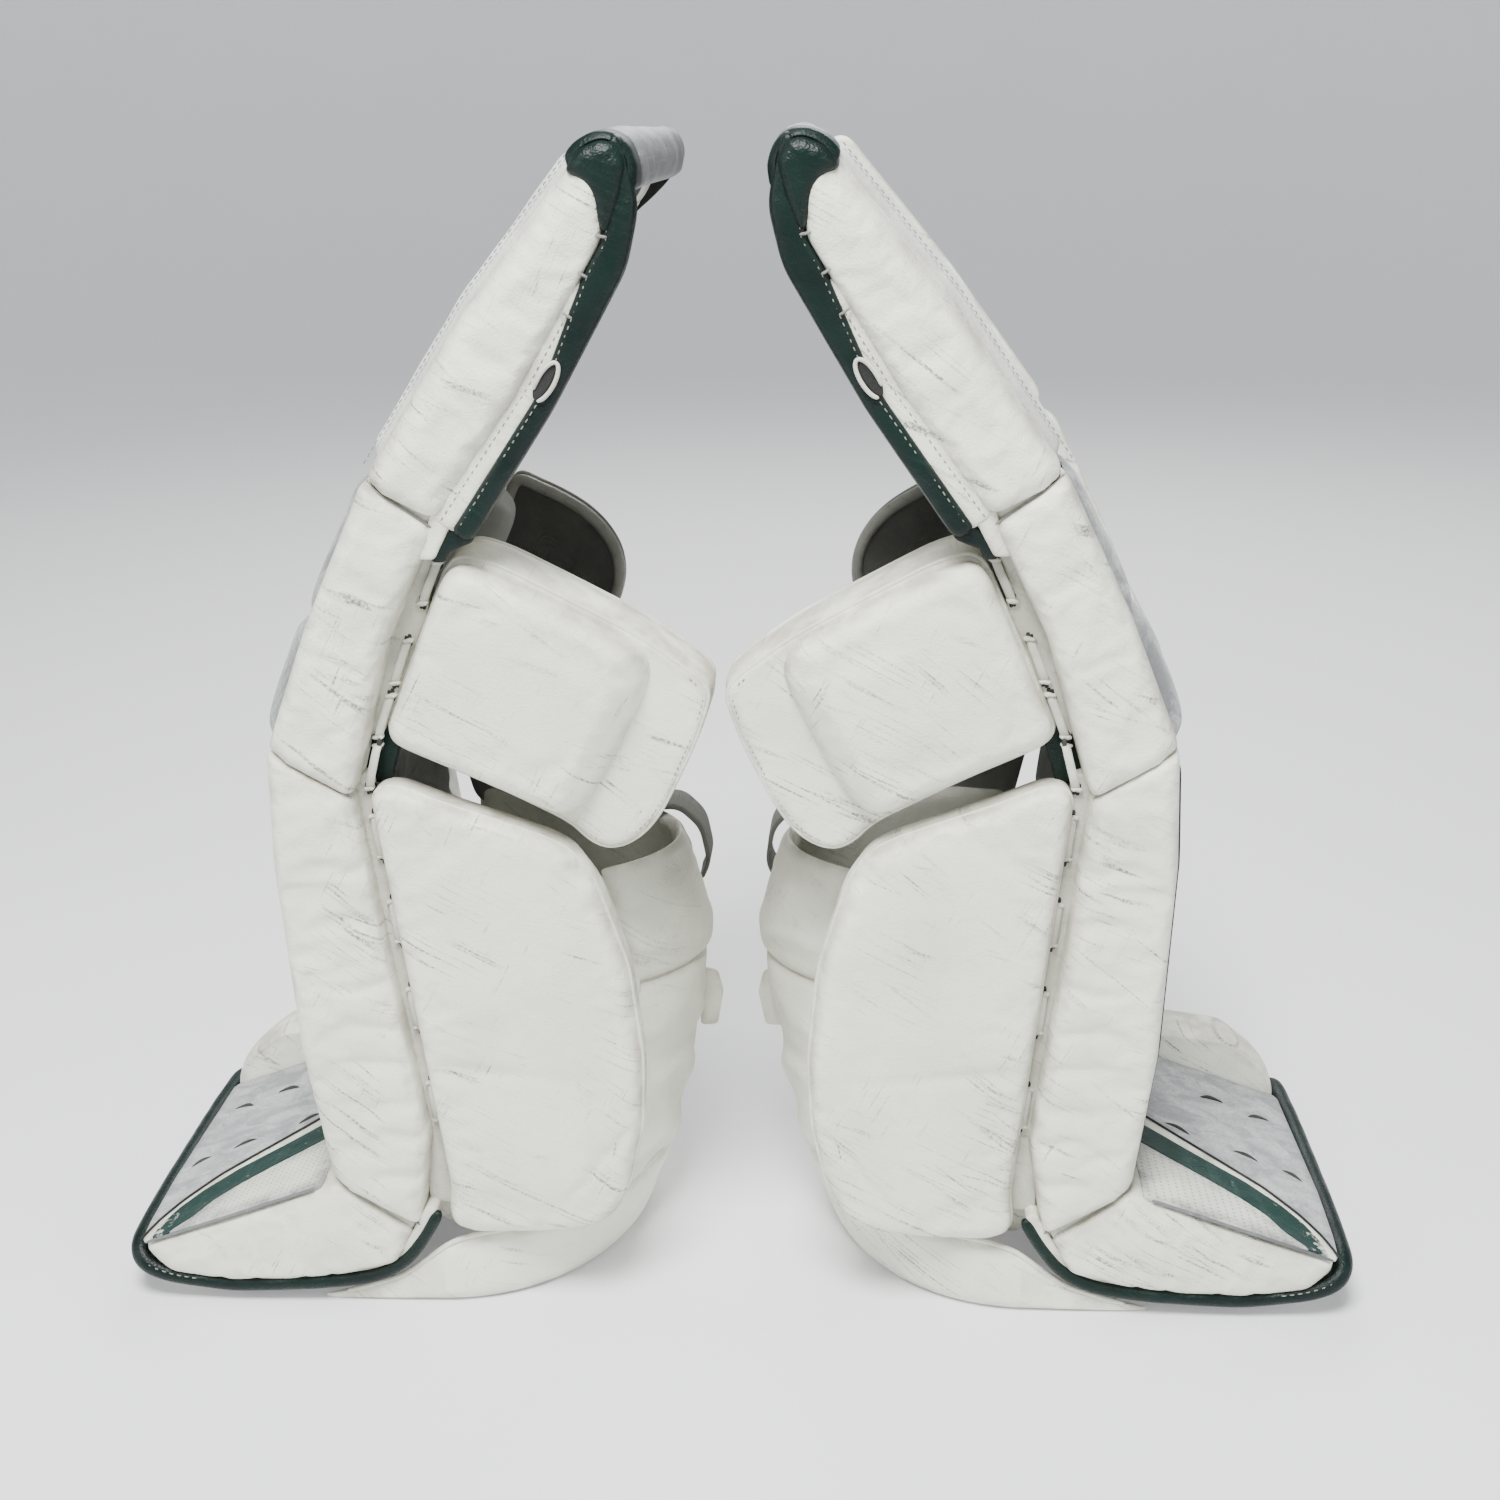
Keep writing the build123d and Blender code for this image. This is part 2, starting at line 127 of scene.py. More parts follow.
def rounded(loop, radius, closed=True, steps=6):
    """The line with each corner turned into a short curve that starts radius mm before it."""
    loop = np.asarray(loop, float)
    radius = radius * MM
    result = []
    count = len(loop)
    for i in range(count):
        if not closed and i in (0, count - 1):
            result.append(loop[i])
            continue
        before, here, after = loop[i - 1], loop[i], loop[(i + 1) % count]
        start = here + (before - here) * min(radius / np.linalg.norm(before - here), 0.49)
        end = here + (after - here) * min(radius / np.linalg.norm(after - here), 0.49)
        for t in np.linspace(0, 1, steps):
            result.append((1 - t) ** 2 * start + 2 * t * (1 - t) * here + t * t * end)
    return np.array(result)


def resampled(line, spacing, closed=False, count=None):
    """Points evenly spaced along a line, both ends kept."""
    line = np.asarray(line, float)
    if closed:
        line = np.vstack([line, line[:1]])
    steps = np.linalg.norm(np.diff(line, axis=0), axis=1)
    line = line[np.concatenate([[True], steps > 1e-7])]
    along = np.concatenate([[0], np.cumsum(np.linalg.norm(np.diff(line, axis=0), axis=1))])
    number = count or max(3, int(round(along[-1] / spacing)) + 1)
    at = np.linspace(0, along[-1], number)
    if closed:
        at = at[:-1]
    return np.stack([np.interp(at, along, line[:, k]) for k in range(line.shape[1])], axis=1)


def sideways(line, distance):
    """An open side-view line moved to the left of its own direction."""
    line = np.asarray(line, float)
    tangent = np.gradient(line, axis=0)
    tangent /= np.linalg.norm(tangent, axis=1)[:, None]
    return line + distance * np.stack([-tangent[:, 1], tangent[:, 0]], axis=1)


def ripple(points, scale, seed=0.0):
    """Smooth noise from -1 to 1 at each point, with lumps about 1 / scale metres across."""
    offset = Vector((seed * 7.31, seed * 3.17, seed * 5.93))
    flat = np.zeros((len(points), 3))
    flat[:, :points.shape[1]] = points
    return np.array([noise.noise(Vector(p) * scale + offset) for p in flat])


# ---------------------------------------------------------------------------- mesh makers
def gaps(points, line, closed=True):
    """Distance of each point to each segment of a line, and where along the line that is."""
    line = np.asarray(line, float)
    a = line if closed else line[:-1]
    b = np.roll(line, -1, axis=0) if closed else line[1:]
    d = b - a
    length = np.linalg.norm(d, axis=1)
    p = points[:, None, :] - a[None]
    t = np.clip((p * d).sum(2) / np.maximum(length ** 2, 1e-18), 0, 1)
    gap = np.linalg.norm(p - t[..., None] * d, axis=2)
    start = np.concatenate([[0], np.cumsum(length)])[:-1]
    return gap, start + t * length


def inside(points, loop):
    """Which points lie inside a closed outline."""
    x, z = points[:, 0][:, None], points[:, 1][:, None]
    ax, az = loop[:, 0], loop[:, 1]
    bx, bz = np.roll(ax, -1), np.roll(az, -1)
    crosses = ((az > z) != (bz > z)) & (x < (bx - ax) * (z - az) / (bz - az + 1e-15) + ax)
    return crosses.sum(1) % 2 == 1


def puffed(loop, low, high, edges, crown=0.0, lumps=0.0, lump_scale=14, pucker=0.0, grooves=(),
           wall=1.5, spacing=5, seed=1.0, power=2.2):
    """A stuffed panel on a closed outline, as rows (u, v, height), faces and seam distances.

    Its flat underside is at height low and its top at high, in metres, and every other size
    is in millimetres. Each of edges is (direction, reach, drop): the top rounds down by drop
    within reach of the seam that faces that way. Grooves are (line, depth, width).
    """
    crown, lumps, pucker, wall, spacing = (v * MM for v in (crown, lumps, pucker, wall, spacing))
    loop = resampled(loop, spacing * 0.8, closed=True)
    if area(loop) < 0:
        loop = loop[::-1]
    count = len(loop)
    tangent = np.roll(loop, -1, axis=0) - np.roll(loop, 1, axis=0)
    tangent /= np.linalg.norm(tangent, axis=1)[:, None]
    outward = np.stack([tangent[:, 1], -tangent[:, 0]], axis=1)
    ways = np.array([np.array(e[0]) / np.linalg.norm(e[0]) for e in edges])
    chosen = (outward @ ways.T).argmax(1)
    blur = max(1, int(9 * MM / (spacing * 0.8)))
    kernel = np.ones(2 * blur + 1) / (2 * blur + 1)
    reach, drop = (np.convolve(np.pad(np.array([edges[c][k] * MM for c in chosen]), blur, "wrap"),
            kernel, "valid") for k in (1, 2))
    rings = []
    for share in (0.12, 0.34, 0.66):
        ring = loop - outward * (reach * share)[:, None]
        gap, _ = gaps(ring, loop)
        rings.append(ring[((gap / reach).min(1) > share * 0.93) & inside(ring, loop)])
    row = spacing * 0.87
    width, height = loop.max(0) - loop.min(0)
    grid = np.array([(loop[:, 0].min() + (i + 0.5 * (j % 2)) * spacing, loop[:, 1].min() + j * row)
                     for j in range(int(height / row) + 2) for i in range(int(width / spacing)
                + 2)])
    grid = grid[inside(grid, loop)]
    gap, _ = gaps(grid, loop)
    near = gap.argmin(1)
    grid = grid[(gap.min(1) - 0.66 * reach[near]) > 0.45 * spacing]
    flat = np.vstack([loop, *rings, grid])
    verts, _, faces, origin, _, _ = delaunay_2d_cdt([Vector(p) for p in flat], [],
        [list(range(count))], 1, 1e-7)
    index = [ids[0] if ids else len(flat) for ids in origin]
    order = np.argsort(index, kind="stable")
    place = np.empty(len(order), int)
    place[order] = np.arange(len(order))
    top = np.array([v[:] for v in verts])[order]
    faces = [[int(place[i]) for i in face] for face in faces]
    if sum(area(top[face]) for face in faces) < 0:
        faces = [face[::-1] for face in faces]

    gap, along = gaps(top, loop)
    scaled = gap / reach
    near = scaled.argmin(1)
    ratio = np.clip(scaled.min(1), 0, 1)
    distance = gap.min(1)
    ratio[:count] = distance[:count] = 0
    near[:count] = np.arange(count)
    around = along[np.arange(len(top)), near]
    level = high - drop[near] * (1 - (1 - (1 - ratio) ** power) ** (1 / power))
    middle = max(distance.max(), 1e-6)
    level += crown * np.sin(0.5 * np.pi * distance / middle)
    if lumps:
        level += lumps * ratio * (ripple(top, lump_scale, seed)
                                  + 0.4 * ripple(top, lump_scale * 2.7, seed + 3))
    if pucker:
        folds = np.stack([around, distance * 0.3], axis=1)
        fade = np.clip(distance / (2.5 * MM), 0, 1) * np.exp(-distance / (11 * MM))
        level += 2.2 * pucker * fade * (ripple(folds, 95, seed + 5)
            + 0.6 * ripple(folds, 210, seed))
    for line, depth, breadth in grooves:
        off = gaps(top, np.array(line), False)[0].min(1)
        level -= depth * MM * np.exp(-(off / (breadth * MM)) ** 2) * np.clip(distance / (3 * MM), 0,
            1)

    layers = [np.column_stack([top, level])]
    wall_rows = 4
    for k in range(1, wall_rows):
        share = k / wall_rows
        rim = loop + outward * (wall * math.sin(math.pi * share))
        layers.append(np.column_stack([rim, level[:count] * (1 - share) + low * share]))
    layers.append(np.column_stack([top, np.full(len(top), low)]))
    total = len(top)
    starts = [0] + [total + count * k for k in range(wall_rows)]
    solid = list(faces)
    for upper, lower in zip(starts[:-1], starts[1:]):
        for i in range(count):
            j = (i + 1) % count
            solid.append([upper + j, upper + i, lower + i, lower + j])
    solid += [[starts[-1] + i for i in reversed(face)] for face in faces]
    # The walls get a seam distance of 0, so the materials paint them with full seam shade.
    seam = np.concatenate([distance, np.zeros(count * (wall_rows - 1)), distance])
    return np.vstack(layers), solid, seam


def medial(shape):
    """A panel's rows (u, v, height) turned to face the medial side."""
    points, faces, seam = shape
    return points[:, [0, 2, 1]] * [1, -1, 1], faces, seam


def lateral(shape):
    """A panel's rows (u, v, height) turned to face the lateral side."""
    points, faces, seam = shape
    return points[:, [0, 2, 1]], [face[::-1] for face in faces], seam


def quilt(place, us, vs, thick, edge, relief=None, back=True, power=2.2):
    """A padded sheet from a surface. place(u, v, depth) is a point that deep in the pad.

    It thins to its rim within edge of it. With back its underside stays at full depth.
    """
    us, vs = np.asarray(us, float), np.asarray(vs, float)
    rows, columns = len(us), len(vs)
    points, seam = [], []
    for under in (False, True):
        for u in us:
            for v in vs:
                gap = min(u - us[0], us[-1] - u, v - vs[0], vs[-1] - v)
                full = (1 - (1 - min(gap / edge, 1)) ** power) ** (1 / power)
                full = max(full, 0.06)
                if under:
                    depth = thick if back else thick * (0.5 + 0.5 * full)
                else:
                    depth = thick * (1 - full) if back else thick * (0.5 - 0.5 * full)
                    if relief:
                        depth -= relief(u, v) * full
                points.append(place(u, v, depth))
                seam.append(gap)
    total = rows * columns
    faces = []
    for i in range(rows - 1):
        for j in range(columns - 1):
            a, b, c, d = (i * columns + j, i * columns + j + 1, (i + 1) * columns + j + 1,
                          (i + 1) * columns + j)
            faces += [[a, b, c, d], [total + d, total + c, total + b, total + a]]
    rim = ([i * columns for i in range(rows)]
           + [(rows - 1) * columns + j for j in range(1, columns)]
           + [i * columns + columns - 1 for i in range(rows - 2, -1, -1)]
           + list(range(columns - 2, 0, -1)))
    faces += [[a, b, total + b, total + a] for a, b in zip(rim, rim[1:] + rim[:1])]
    return np.array(points), faces, np.array(seam)


def tube(path, radius, sides=10, closed=False, flat=1.0, across=None):
    """A cord along a path. With flat and across it is a band, that much thinner one way."""
    path = np.asarray(path, float)
    count = len(path)
    ahead = np.roll(path, -1, axis=0) - np.roll(path, 1, axis=0)
    if not closed:
        ahead[0], ahead[-1] = path[1] - path[0], path[-1] - path[-2]
    ahead /= np.linalg.norm(ahead, axis=1)[:, None]
    side = np.array(across, float) if across is not None else np.cross(ahead[0], [0.3, 0.9, 0.31])
    radii = np.broadcast_to(radius, count).astype(float).copy()
    points, faces = [], []
    for i in range(count):
        side = side - ahead[i] * (side @ ahead[i])
        side /= np.linalg.norm(side)
        lift = np.cross(ahead[i], side)
        taper = 0.55 if not closed and i in (0, count - 1) else 1.0
        for k in range(sides):
            turn = 2 * math.pi * k / sides
            offset = side * math.cos(turn) + lift * math.sin(turn) * flat
            points.append(path[i] + offset * radii[i] * taper)
        if across is not None:
            side = np.array(across, float)
    for i in range(count if closed else count - 1):
        for k in range(sides):
            a, b = i * sides + k, i * sides + (k + 1) % sides
            c, d = ((i + 1) % count) * sides + (k + 1) % sides, ((i + 1) % count) * sides + k
            faces.append([a, b, c, d])
    if not closed:
        faces += [list(range(sides))[::-1], [(count - 1) * sides + k for k in range(sides)]]
    # Each cord point gets a seam distance of 4 mm, so the materials paint part of the seam shade on
    # it.
    return np.array(points), faces, np.full(len(points), 0.004)


def joined(*shapes):
    """Several shapes as one."""
    points, faces, seams, start = [], [], [], 0
    for p, f, s in shapes:
        points.append(p)
        seams.append(s)
        faces += [[i + start for i in face] for face in f]
        start += len(p)
    return np.vstack(points), faces, np.concatenate(seams)


def stitches(line, length, gap, radius, sink=0.5, out=(0, -1, 0)):
    """A row of thread stitches along a path, arching over the surface. Sizes are in millimetres."""
    length, gap, radius, sink = (v * MM for v in (length, gap, radius, sink))
    path = resampled(line, length + gap)
    out = np.array(out, float)
    found = []
    for a, b in zip(path[:-1], path[1:]):
        step = (b - a) * (length / (length + gap))
        found.append(tube([a - out * sink, a + step * 0.2 + out * radius * 0.7,
                           a + step * 0.8 + out * radius * 0.7, a + step - out * sink], radius,
                          sides=6))
    return joined(*found)


def settle(shape, still, slack=0.02, pressure=3.0, cap=5, frames=12):
    """The shape after a short cloth simulation, with the points of still held in place.

    No point moves further than cap, in millimetres.
    """
    points, faces, seam = shape
    mesh = bpy.data.meshes.new("cloth")
    mesh.from_pydata([tuple(p) for p in points], [], faces)
    body = bpy.data.objects.new("cloth", mesh)
    bpy.context.scene.collection.objects.link(body)
    pins = body.vertex_groups.new(name="held")
    pins.add([int(i) for i in np.nonzero(still)[0]], 1.0, "REPLACE")
    cloth = body.modifiers.new("cloth", "CLOTH")
    cloth.settings.quality = 4
    cloth.settings.mass = 0.2
    cloth.settings.tension_stiffness = cloth.settings.compression_stiffness = 25
    cloth.settings.shear_stiffness = 8
    cloth.settings.bending_stiffness = 0.4
    cloth.settings.use_pressure = True
    cloth.settings.uniform_pressure_force = pressure
    cloth.settings.shrink_min = -slack
    cloth.settings.vertex_group_mass = "held"
    cloth.settings.effector_weights.gravity = 0
    cloth.point_cache.frame_start, cloth.point_cache.frame_end = 1, frames
    for at in range(1, frames + 1):
        bpy.context.scene.frame_set(at)
    result = body.evaluated_get(bpy.context.evaluated_depsgraph_get())
    moved = np.array([v.co[:] for v in result.data.vertices]) - points
    bpy.data.objects.remove(body)
    bpy.data.meshes.remove(mesh)
    bpy.context.scene.frame_set(1)
    length = np.maximum(np.linalg.norm(moved, axis=1), 1e-9)
    return points + moved * np.minimum(1, cap * MM / length)[:, None], faces, seam


# The pad's front edge in a side view, and the way its outside faces at some heights.
FRONT_LINE = np.array([(-289, 330), (-286, 407), (-254, 488), (-211, 578), (-142, 679),
                       (-72, 764)]) * MM
LEAN_HEIGHTS, LEAN_DEGREES = [0.33, 0.45, 0.53, 0.62, 0.74], [0, 21.5, 25.5, 34.3, 39.5]
FALL_BACK, FALL_REACH = 15 * MM, 55 * MM      # how far the lateral front falls back, and how deep
LEAST_Y, PAD_WIDTH = -0.10, 0.24              # where the fall starts, and over what width


def sloped(points):
    """The front above the shin falls back towards the lateral side, and the back stays."""
    points = np.array(points, float)
    side_view = points[:, [0, 2]]
    gap, _ = gaps(side_view, FRONT_LINE, False)
    nearest = gap.argmin(1)
    start, step = FRONT_LINE[:-1][nearest], np.diff(FRONT_LINE, axis=0)[nearest]
    off = side_view - start
    ahead = step[:, 0] * off[:, 1] - step[:, 1] * off[:, 0] > 0
    behind = np.where(ahead, 0, gap.min(1))
    turn = np.radians(np.interp(points[:, 2], LEAN_HEIGHTS, LEAN_DEGREES))
    share = np.clip((points[:, 1] - LEAST_Y) / PAD_WIDTH, 0, 1)
    share = share * share * (3 - 2 * share) * np.interp(points[:, 2], [0.38, 0.47], [0, 1])
    move = FALL_BACK * share * np.clip(1 - behind / FALL_REACH, 0, 1)
    points[:, 0] += move * np.cos(turn)
    points[:, 2] -= move * np.sin(turn)
    return points


def pair(name, shape, body, material, slot=None, smooth=1, bend=None):
    """Makes the left piece and its mirrored right twin.

    A piece named like a CAD node stands for it. With bend the piece is baked where it stands and
    joins no body; the bodies and points that bend holds are not used.
    """
    points, faces, seam = shape
    if body in (None, "leg", "thigh"):
        points = sloped(points)
    for side, sign in (("left_", 1), ("right_", -1)):
        mesh = bpy.data.meshes.new(side + name)
        turned = faces if sign > 0 else [face[::-1] for face in faces]
        mesh.from_pydata([(p[0] * sign, p[1], p[2]) for p in points], [], turned)
        mesh.validate()
        mesh.update()
        # The seam attribute is each point's distance to its panel's seam; the materials use it to
        # paint shade along the seams.
        mesh.attributes.new("seam", "FLOAT", "POINT").data.foreach_set("value",
            np.array(seam, np.float32))
        mesh.polygons.foreach_set("use_smooth", [True] * len(mesh.polygons))
        mesh.materials.append(material)
        piece = bpy.data.objects.new(side + name, mesh)
        bpy.context.scene.collection.objects.link(piece)
        if smooth:
            finer = piece.modifiers.new("finer", "SUBSURF")
            finer.levels = finer.render_levels = smooth
            finer.boundary_smooth = "PRESERVE_CORNERS"
        if bend:
            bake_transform(piece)
        else:
            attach(piece, side + body)
        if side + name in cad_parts:
            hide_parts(side + name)
        slot or SLOTS[material.name]



# ------------------------------------------------------------------------------ materials
class Recipe:
    """One procedural material, built from short node calls. Colours are linear."""

    def __init__(self, name, roughness=0.5, specular=0.5, sheen=0.0, coat=0.0):
        self.material = bpy.data.materials.new(name)
        self.material.use_nodes = True
        self.tree = self.material.node_tree
        self.shader = self.tree.nodes["Principled BSDF"]
        self.shader.inputs["Roughness"].default_value = roughness
        self.shader.inputs["Specular IOR Level"].default_value = specular
        self.shader.inputs["Sheen Weight"].default_value = sheen
        self.shader.inputs["Coat Weight"].default_value = coat
        self.place = self.tree.nodes.new("ShaderNodeTexCoord").outputs["Object"]

    def link(self, value, socket):
        if isinstance(value, bpy.types.NodeSocket):
            self.tree.links.new(value, socket)
        elif isinstance(value, tuple) and len(value) == 3 and socket.type == "RGBA":
            socket.default_value = (*value, 1)
        else:
            socket.default_value = value

    def turned(self, size, angle=(0, 0, 0)):
        """Coordinates turned, then divided by size, so a texture stretches along its long side."""
        node = self.tree.nodes.new("ShaderNodeMapping")
        node.vector_type = "TEXTURE"
        node.inputs["Scale"].default_value = size
        node.inputs["Rotation"].default_value = [math.radians(a) for a in angle]
        self.link(self.place, node.inputs["Vector"])
        return node.outputs["Vector"]

    def noise(self, scale, detail=3, rough=0.55, twist=0.0, vector=None):
        node = self.tree.nodes.new("ShaderNodeTexNoise")
        node.inputs["Scale"].default_value = scale
        node.inputs["Detail"].default_value = detail
        node.inputs["Roughness"].default_value = rough
        node.inputs["Distortion"].default_value = twist
        self.link(vector or self.place, node.inputs["Vector"])
        return node.outputs["Fac"]

    def cells(self, scale, feature="F1"):
        node = self.tree.nodes.new("ShaderNodeTexVoronoi")
        node.feature = feature
        node.inputs["Scale"].default_value = scale
        self.link(self.place, node.inputs["Vector"])
        return node.outputs["Distance"]

    def waves(self, scale, direction):
        node = self.tree.nodes.new("ShaderNodeTexWave")
        node.bands_direction = direction
        node.inputs["Scale"].default_value = scale
        self.link(self.place, node.inputs["Vector"])
        return node.outputs["Fac"]

    def span(self, value, low, high, to_low=0.0, to_high=1.0):
        node = self.tree.nodes.new("ShaderNodeMapRange")
        for socket, number in zip(node.inputs, (value, low, high, to_low, to_high)):
            self.link(number, socket)
        return node.outputs["Result"]

    def sum(self, a, b, kind="MULTIPLY"):
        node = self.tree.nodes.new("ShaderNodeMath")
        node.operation = kind
        self.link(a, node.inputs[0])
        self.link(b, node.inputs[1])
        return node.outputs[0]

    def mix(self, share, a, b):
        """Colour a turning into colour b.

        A Mix node's colour sockets are its inputs 6 and 7 and its output 2.
        """
        node = self.tree.nodes.new("ShaderNodeMix")
        node.data_type = "RGBA"
        self.link(share, node.inputs["Factor"])
        self.link(a, node.inputs[6])
        self.link(b, node.inputs[7])
        return node.outputs[2]

    def seam(self, reach):
        """1 at a seam, falling to 0 at reach from it: the mask for painted seam shade."""
        node = self.tree.nodes.new("ShaderNodeAttribute")
        node.attribute_name = "seam"
        return self.span(node.outputs["Fac"], 0.0, reach, 1.0, 0.0)

    def bump(self, *layers):
        """Layers of (height, depth in metres), the widest first."""
        normal = None
        for height, depth in layers:
            node = self.tree.nodes.new("ShaderNodeBump")
            node.inputs["Strength"].default_value = 1.0
            node.inputs["Distance"].default_value = depth
            self.link(height, node.inputs["Height"])
            if normal:
                self.link(normal, node.inputs["Normal"])
            normal = node.outputs["Normal"]
        self.link(normal, self.shader.inputs["Normal"])

    def finish(self, colour, roughness=None):
        self.link(colour, self.shader.inputs["Base Color"])
        if roughness is not None:
            self.link(roughness, self.shader.inputs["Roughness"])
        return self.material


def leather(name, colour, shade, scuff=(0.10, 0.105, 0.10), scuffs=0.85, dirt_and_shade=(0.28, 0.25, 0.19),
            seam_shade=0.55, roughness=0.42, grain=0.16, brown=0.25, specular=0.38):
    """Grained leather with scuff streaks, painted shade along the seams and brown rubs.

    Each kind of streak is (angle, size of its noise, the noise level it starts at).
    """
    r = Recipe(name, specular=specular)
    base = r.mix(r.span(r.noise(16, 3), 0.38, 0.66), colour, shade)
    marks = ((-62, (0.0020, 0.5, 0.105), 0.575), (-50, (0.0028, 0.5, 0.080), 0.585),
             (-70, (0.0050, 0.5, 0.060), 0.60), (28, (0.0016, 0.5, 0.034), 0.625))
    broken = r.span(r.noise(520, 2), 0.38, 0.62, 0.15, 1.0)
    for k, (angle, size, start) in enumerate(marks):
        streak = r.sum(r.span(r.noise(1, 2, vector=r.turned(size, (0, angle, 0))), start,
                              start + 0.08), broken)
        patch = r.span(r.noise(9 + 4 * k, 2, vector=r.turned((1, 1, 1), (0, 20 * k, 9 * k))), 0.52,
                       0.64)
        base = r.mix(r.sum(r.sum(streak, patch), scuffs), base, scuff)
    rub = r.span(r.noise(11, 5, 0.7, vector=r.turned((1, 1, 0.6), (0, 35, 12))), 0.60, 0.72)
    base = r.mix(r.sum(r.sum(rub, r.span(r.noise(260, 2), 0.4, 0.62)), brown), base, dirt_and_shade)
    # Painted shade: within 8 mm of every seam the colour darkens in blotches, standing in for the
    # shade there. The same dark colour also tints the brown rubs, which are real stains.
    seam_shade_mask = r.sum(r.seam(0.008), r.span(r.noise(40, 3), 0.36, 0.62))
    base = r.mix(r.sum(seam_shade_mask, seam_shade), base, dirt_and_shade)
    fine = r.cells(820, "SMOOTH_F1")
    r.bump((r.noise(55, 3), 0.0011), (fine, grain * MM * 2), (r.noise(1500, 2), 0.00006))
    return r.finish(base, r.span(r.noise(30, 4), 0.3, 0.7, roughness - 0.06, roughness + 0.12))


def marbled(name, pale, grey, fuzz=0.35):
    """Brushed leather, clouded in two greys, with a worn nap."""
    r = Recipe(name, specular=0.25, sheen=0.25)
    cloud = r.span(r.noise(34, 6, 0.66, 1.2, r.turned((1, 0.7, 1.9), (20, 15, 0))), 0.4, 0.62)
    speck = r.span(r.noise(420, 3, 0.7), 0.36, 0.66)
    base = r.mix(cloud, grey, pale)
    base = r.mix(r.sum(speck, fuzz), base, tuple(c * 0.62 for c in grey))
    # Painted shade: a darker grey within 7 mm of each seam.
    base = r.mix(r.sum(r.seam(0.007), 0.4), base, tuple(c * 0.4 for c in grey))
    r.bump((r.noise(60, 3), 0.0012), (r.noise(700, 4, 0.7), 0.00035))
    return r.finish(base, r.span(cloud, 0, 1, 0.72, 0.6))


def woven(name, colour, shade, across=900, roughness=0.8, sheen=0.2):
    """A woven or knitted cloth, with threads both ways."""
    r = Recipe(name, roughness=roughness, specular=0.2, sheen=sheen)
    weave = r.sum(r.waves(across, "Z"), r.sum(r.waves(across, "X"), r.waves(across, "Y"), "ADD"))
    base = r.mix(r.span(r.noise(22, 4), 0.36, 0.66), colour, shade)
    base = r.mix(r.span(weave, 0.2, 1.2, 0.35, 0.0), base, tuple(c * 0.45 for c in shade))
    # Painted shade: a darker colour within 8 mm of each seam.
    base = r.mix(r.sum(r.seam(0.008), 0.35), base, tuple(c * 0.4 for c in shade))
    r.bump((r.noise(50, 3), 0.0012), (weave, 0.0003))
    return r.finish(base)


def foam(name, colour):
    """Cut foam with small open cells."""
    r = Recipe(name, roughness=0.9, specular=0.15)
    pores = r.span(r.cells(700), 0.0, 0.5)
    base = r.mix(r.span(r.noise(30, 3), 0.35, 0.65), colour, tuple(c * 0.6 for c in colour))
    base = r.mix(r.span(pores, 0, 0.5, 0.6, 0), base, tuple(c * 0.3 for c in colour))
    r.bump((r.noise(60, 3), 0.001), (pores, 0.0005))
    return r.finish(base)


def perforated(name, colour, shade, dots, pitch=3.4 * MM, hole=0.62 * MM):
    """White leather with small punched holes, rubbed grey, in rows along the two dots ways."""
    r = Recipe(name, specular=0.35)
    base = r.mix(r.span(r.noise(24, 4), 0.36, 0.64), colour, shade)
    patch = r.span(r.noise(17, 4, 0.6, 0.4), 0.42, 0.66)
    specks = r.span(r.noise(640, 3, 0.75), 0.46, 0.60, 0.25, 1.0)
    base = r.mix(r.sum(r.sum(patch, specks), 0.75), base, (0.23, 0.235, 0.235))
    # Painted shade: darker towards the seams, within 14 mm, broken up by noise.
    base = r.mix(r.sum(r.seam(0.014), r.span(r.noise(60, 3), 0.38, 0.62, 0.2, 0.8)), base,
                 (0.16, 0.16, 0.16))
    parts = []
    for direction in dots:
        dot = r.tree.nodes.new("ShaderNodeVectorMath")
        dot.operation = "DOT_PRODUCT"
        r.link(r.place, dot.inputs[0])
        dot.inputs[1].default_value = [c / pitch for c in direction]
        off = r.sum(r.sum(dot.outputs["Value"], 0.0, "FRACT"), 0.5, "SUBTRACT")
        parts.append(r.sum(off, off))
    away = r.sum(r.sum(parts[0], parts[1], "ADD"), 0.5, "POWER")
    punched = r.span(away, hole / pitch, hole / pitch * 1.5, 1.0, 0.0)
    base = r.mix(r.sum(punched, 0.6), base, (0.1, 0.1, 0.095))
    r.bump((r.noise(55, 3), 0.0008), (r.cells(820, "SMOOTH_F1"), 0.0003),
           (r.sum(punched, -1.0), 0.0004))
    return r.finish(base, r.span(r.noise(30, 3), 0.3, 0.7, 0.45, 0.6))


def toe_worn(material, start, end, under):
    """The material rubbed through to the colour under it, from start to end along the pad."""
    tree = material.node_tree
    shader = tree.nodes["Principled BSDF"]
    r = Recipe.__new__(Recipe)
    r.tree, r.place = tree, tree.nodes.new("ShaderNodeTexCoord").outputs["Object"]
    before = shader.inputs["Base Color"].links[0].from_socket
    parts = tree.nodes.new("ShaderNodeSeparateXYZ")
    r.link(r.place, parts.inputs[0])
    along = r.span(r.sum(parts.outputs[0], 0.0, "ABSOLUTE"), start, end)
    rubbed = r.span(r.sum(r.noise(150, 4, 0.7), r.sum(along, 0.34), "ADD"), 0.66, 0.76)
    tree.links.new(r.mix(rubbed, before, under), shader.inputs["Base Color"])


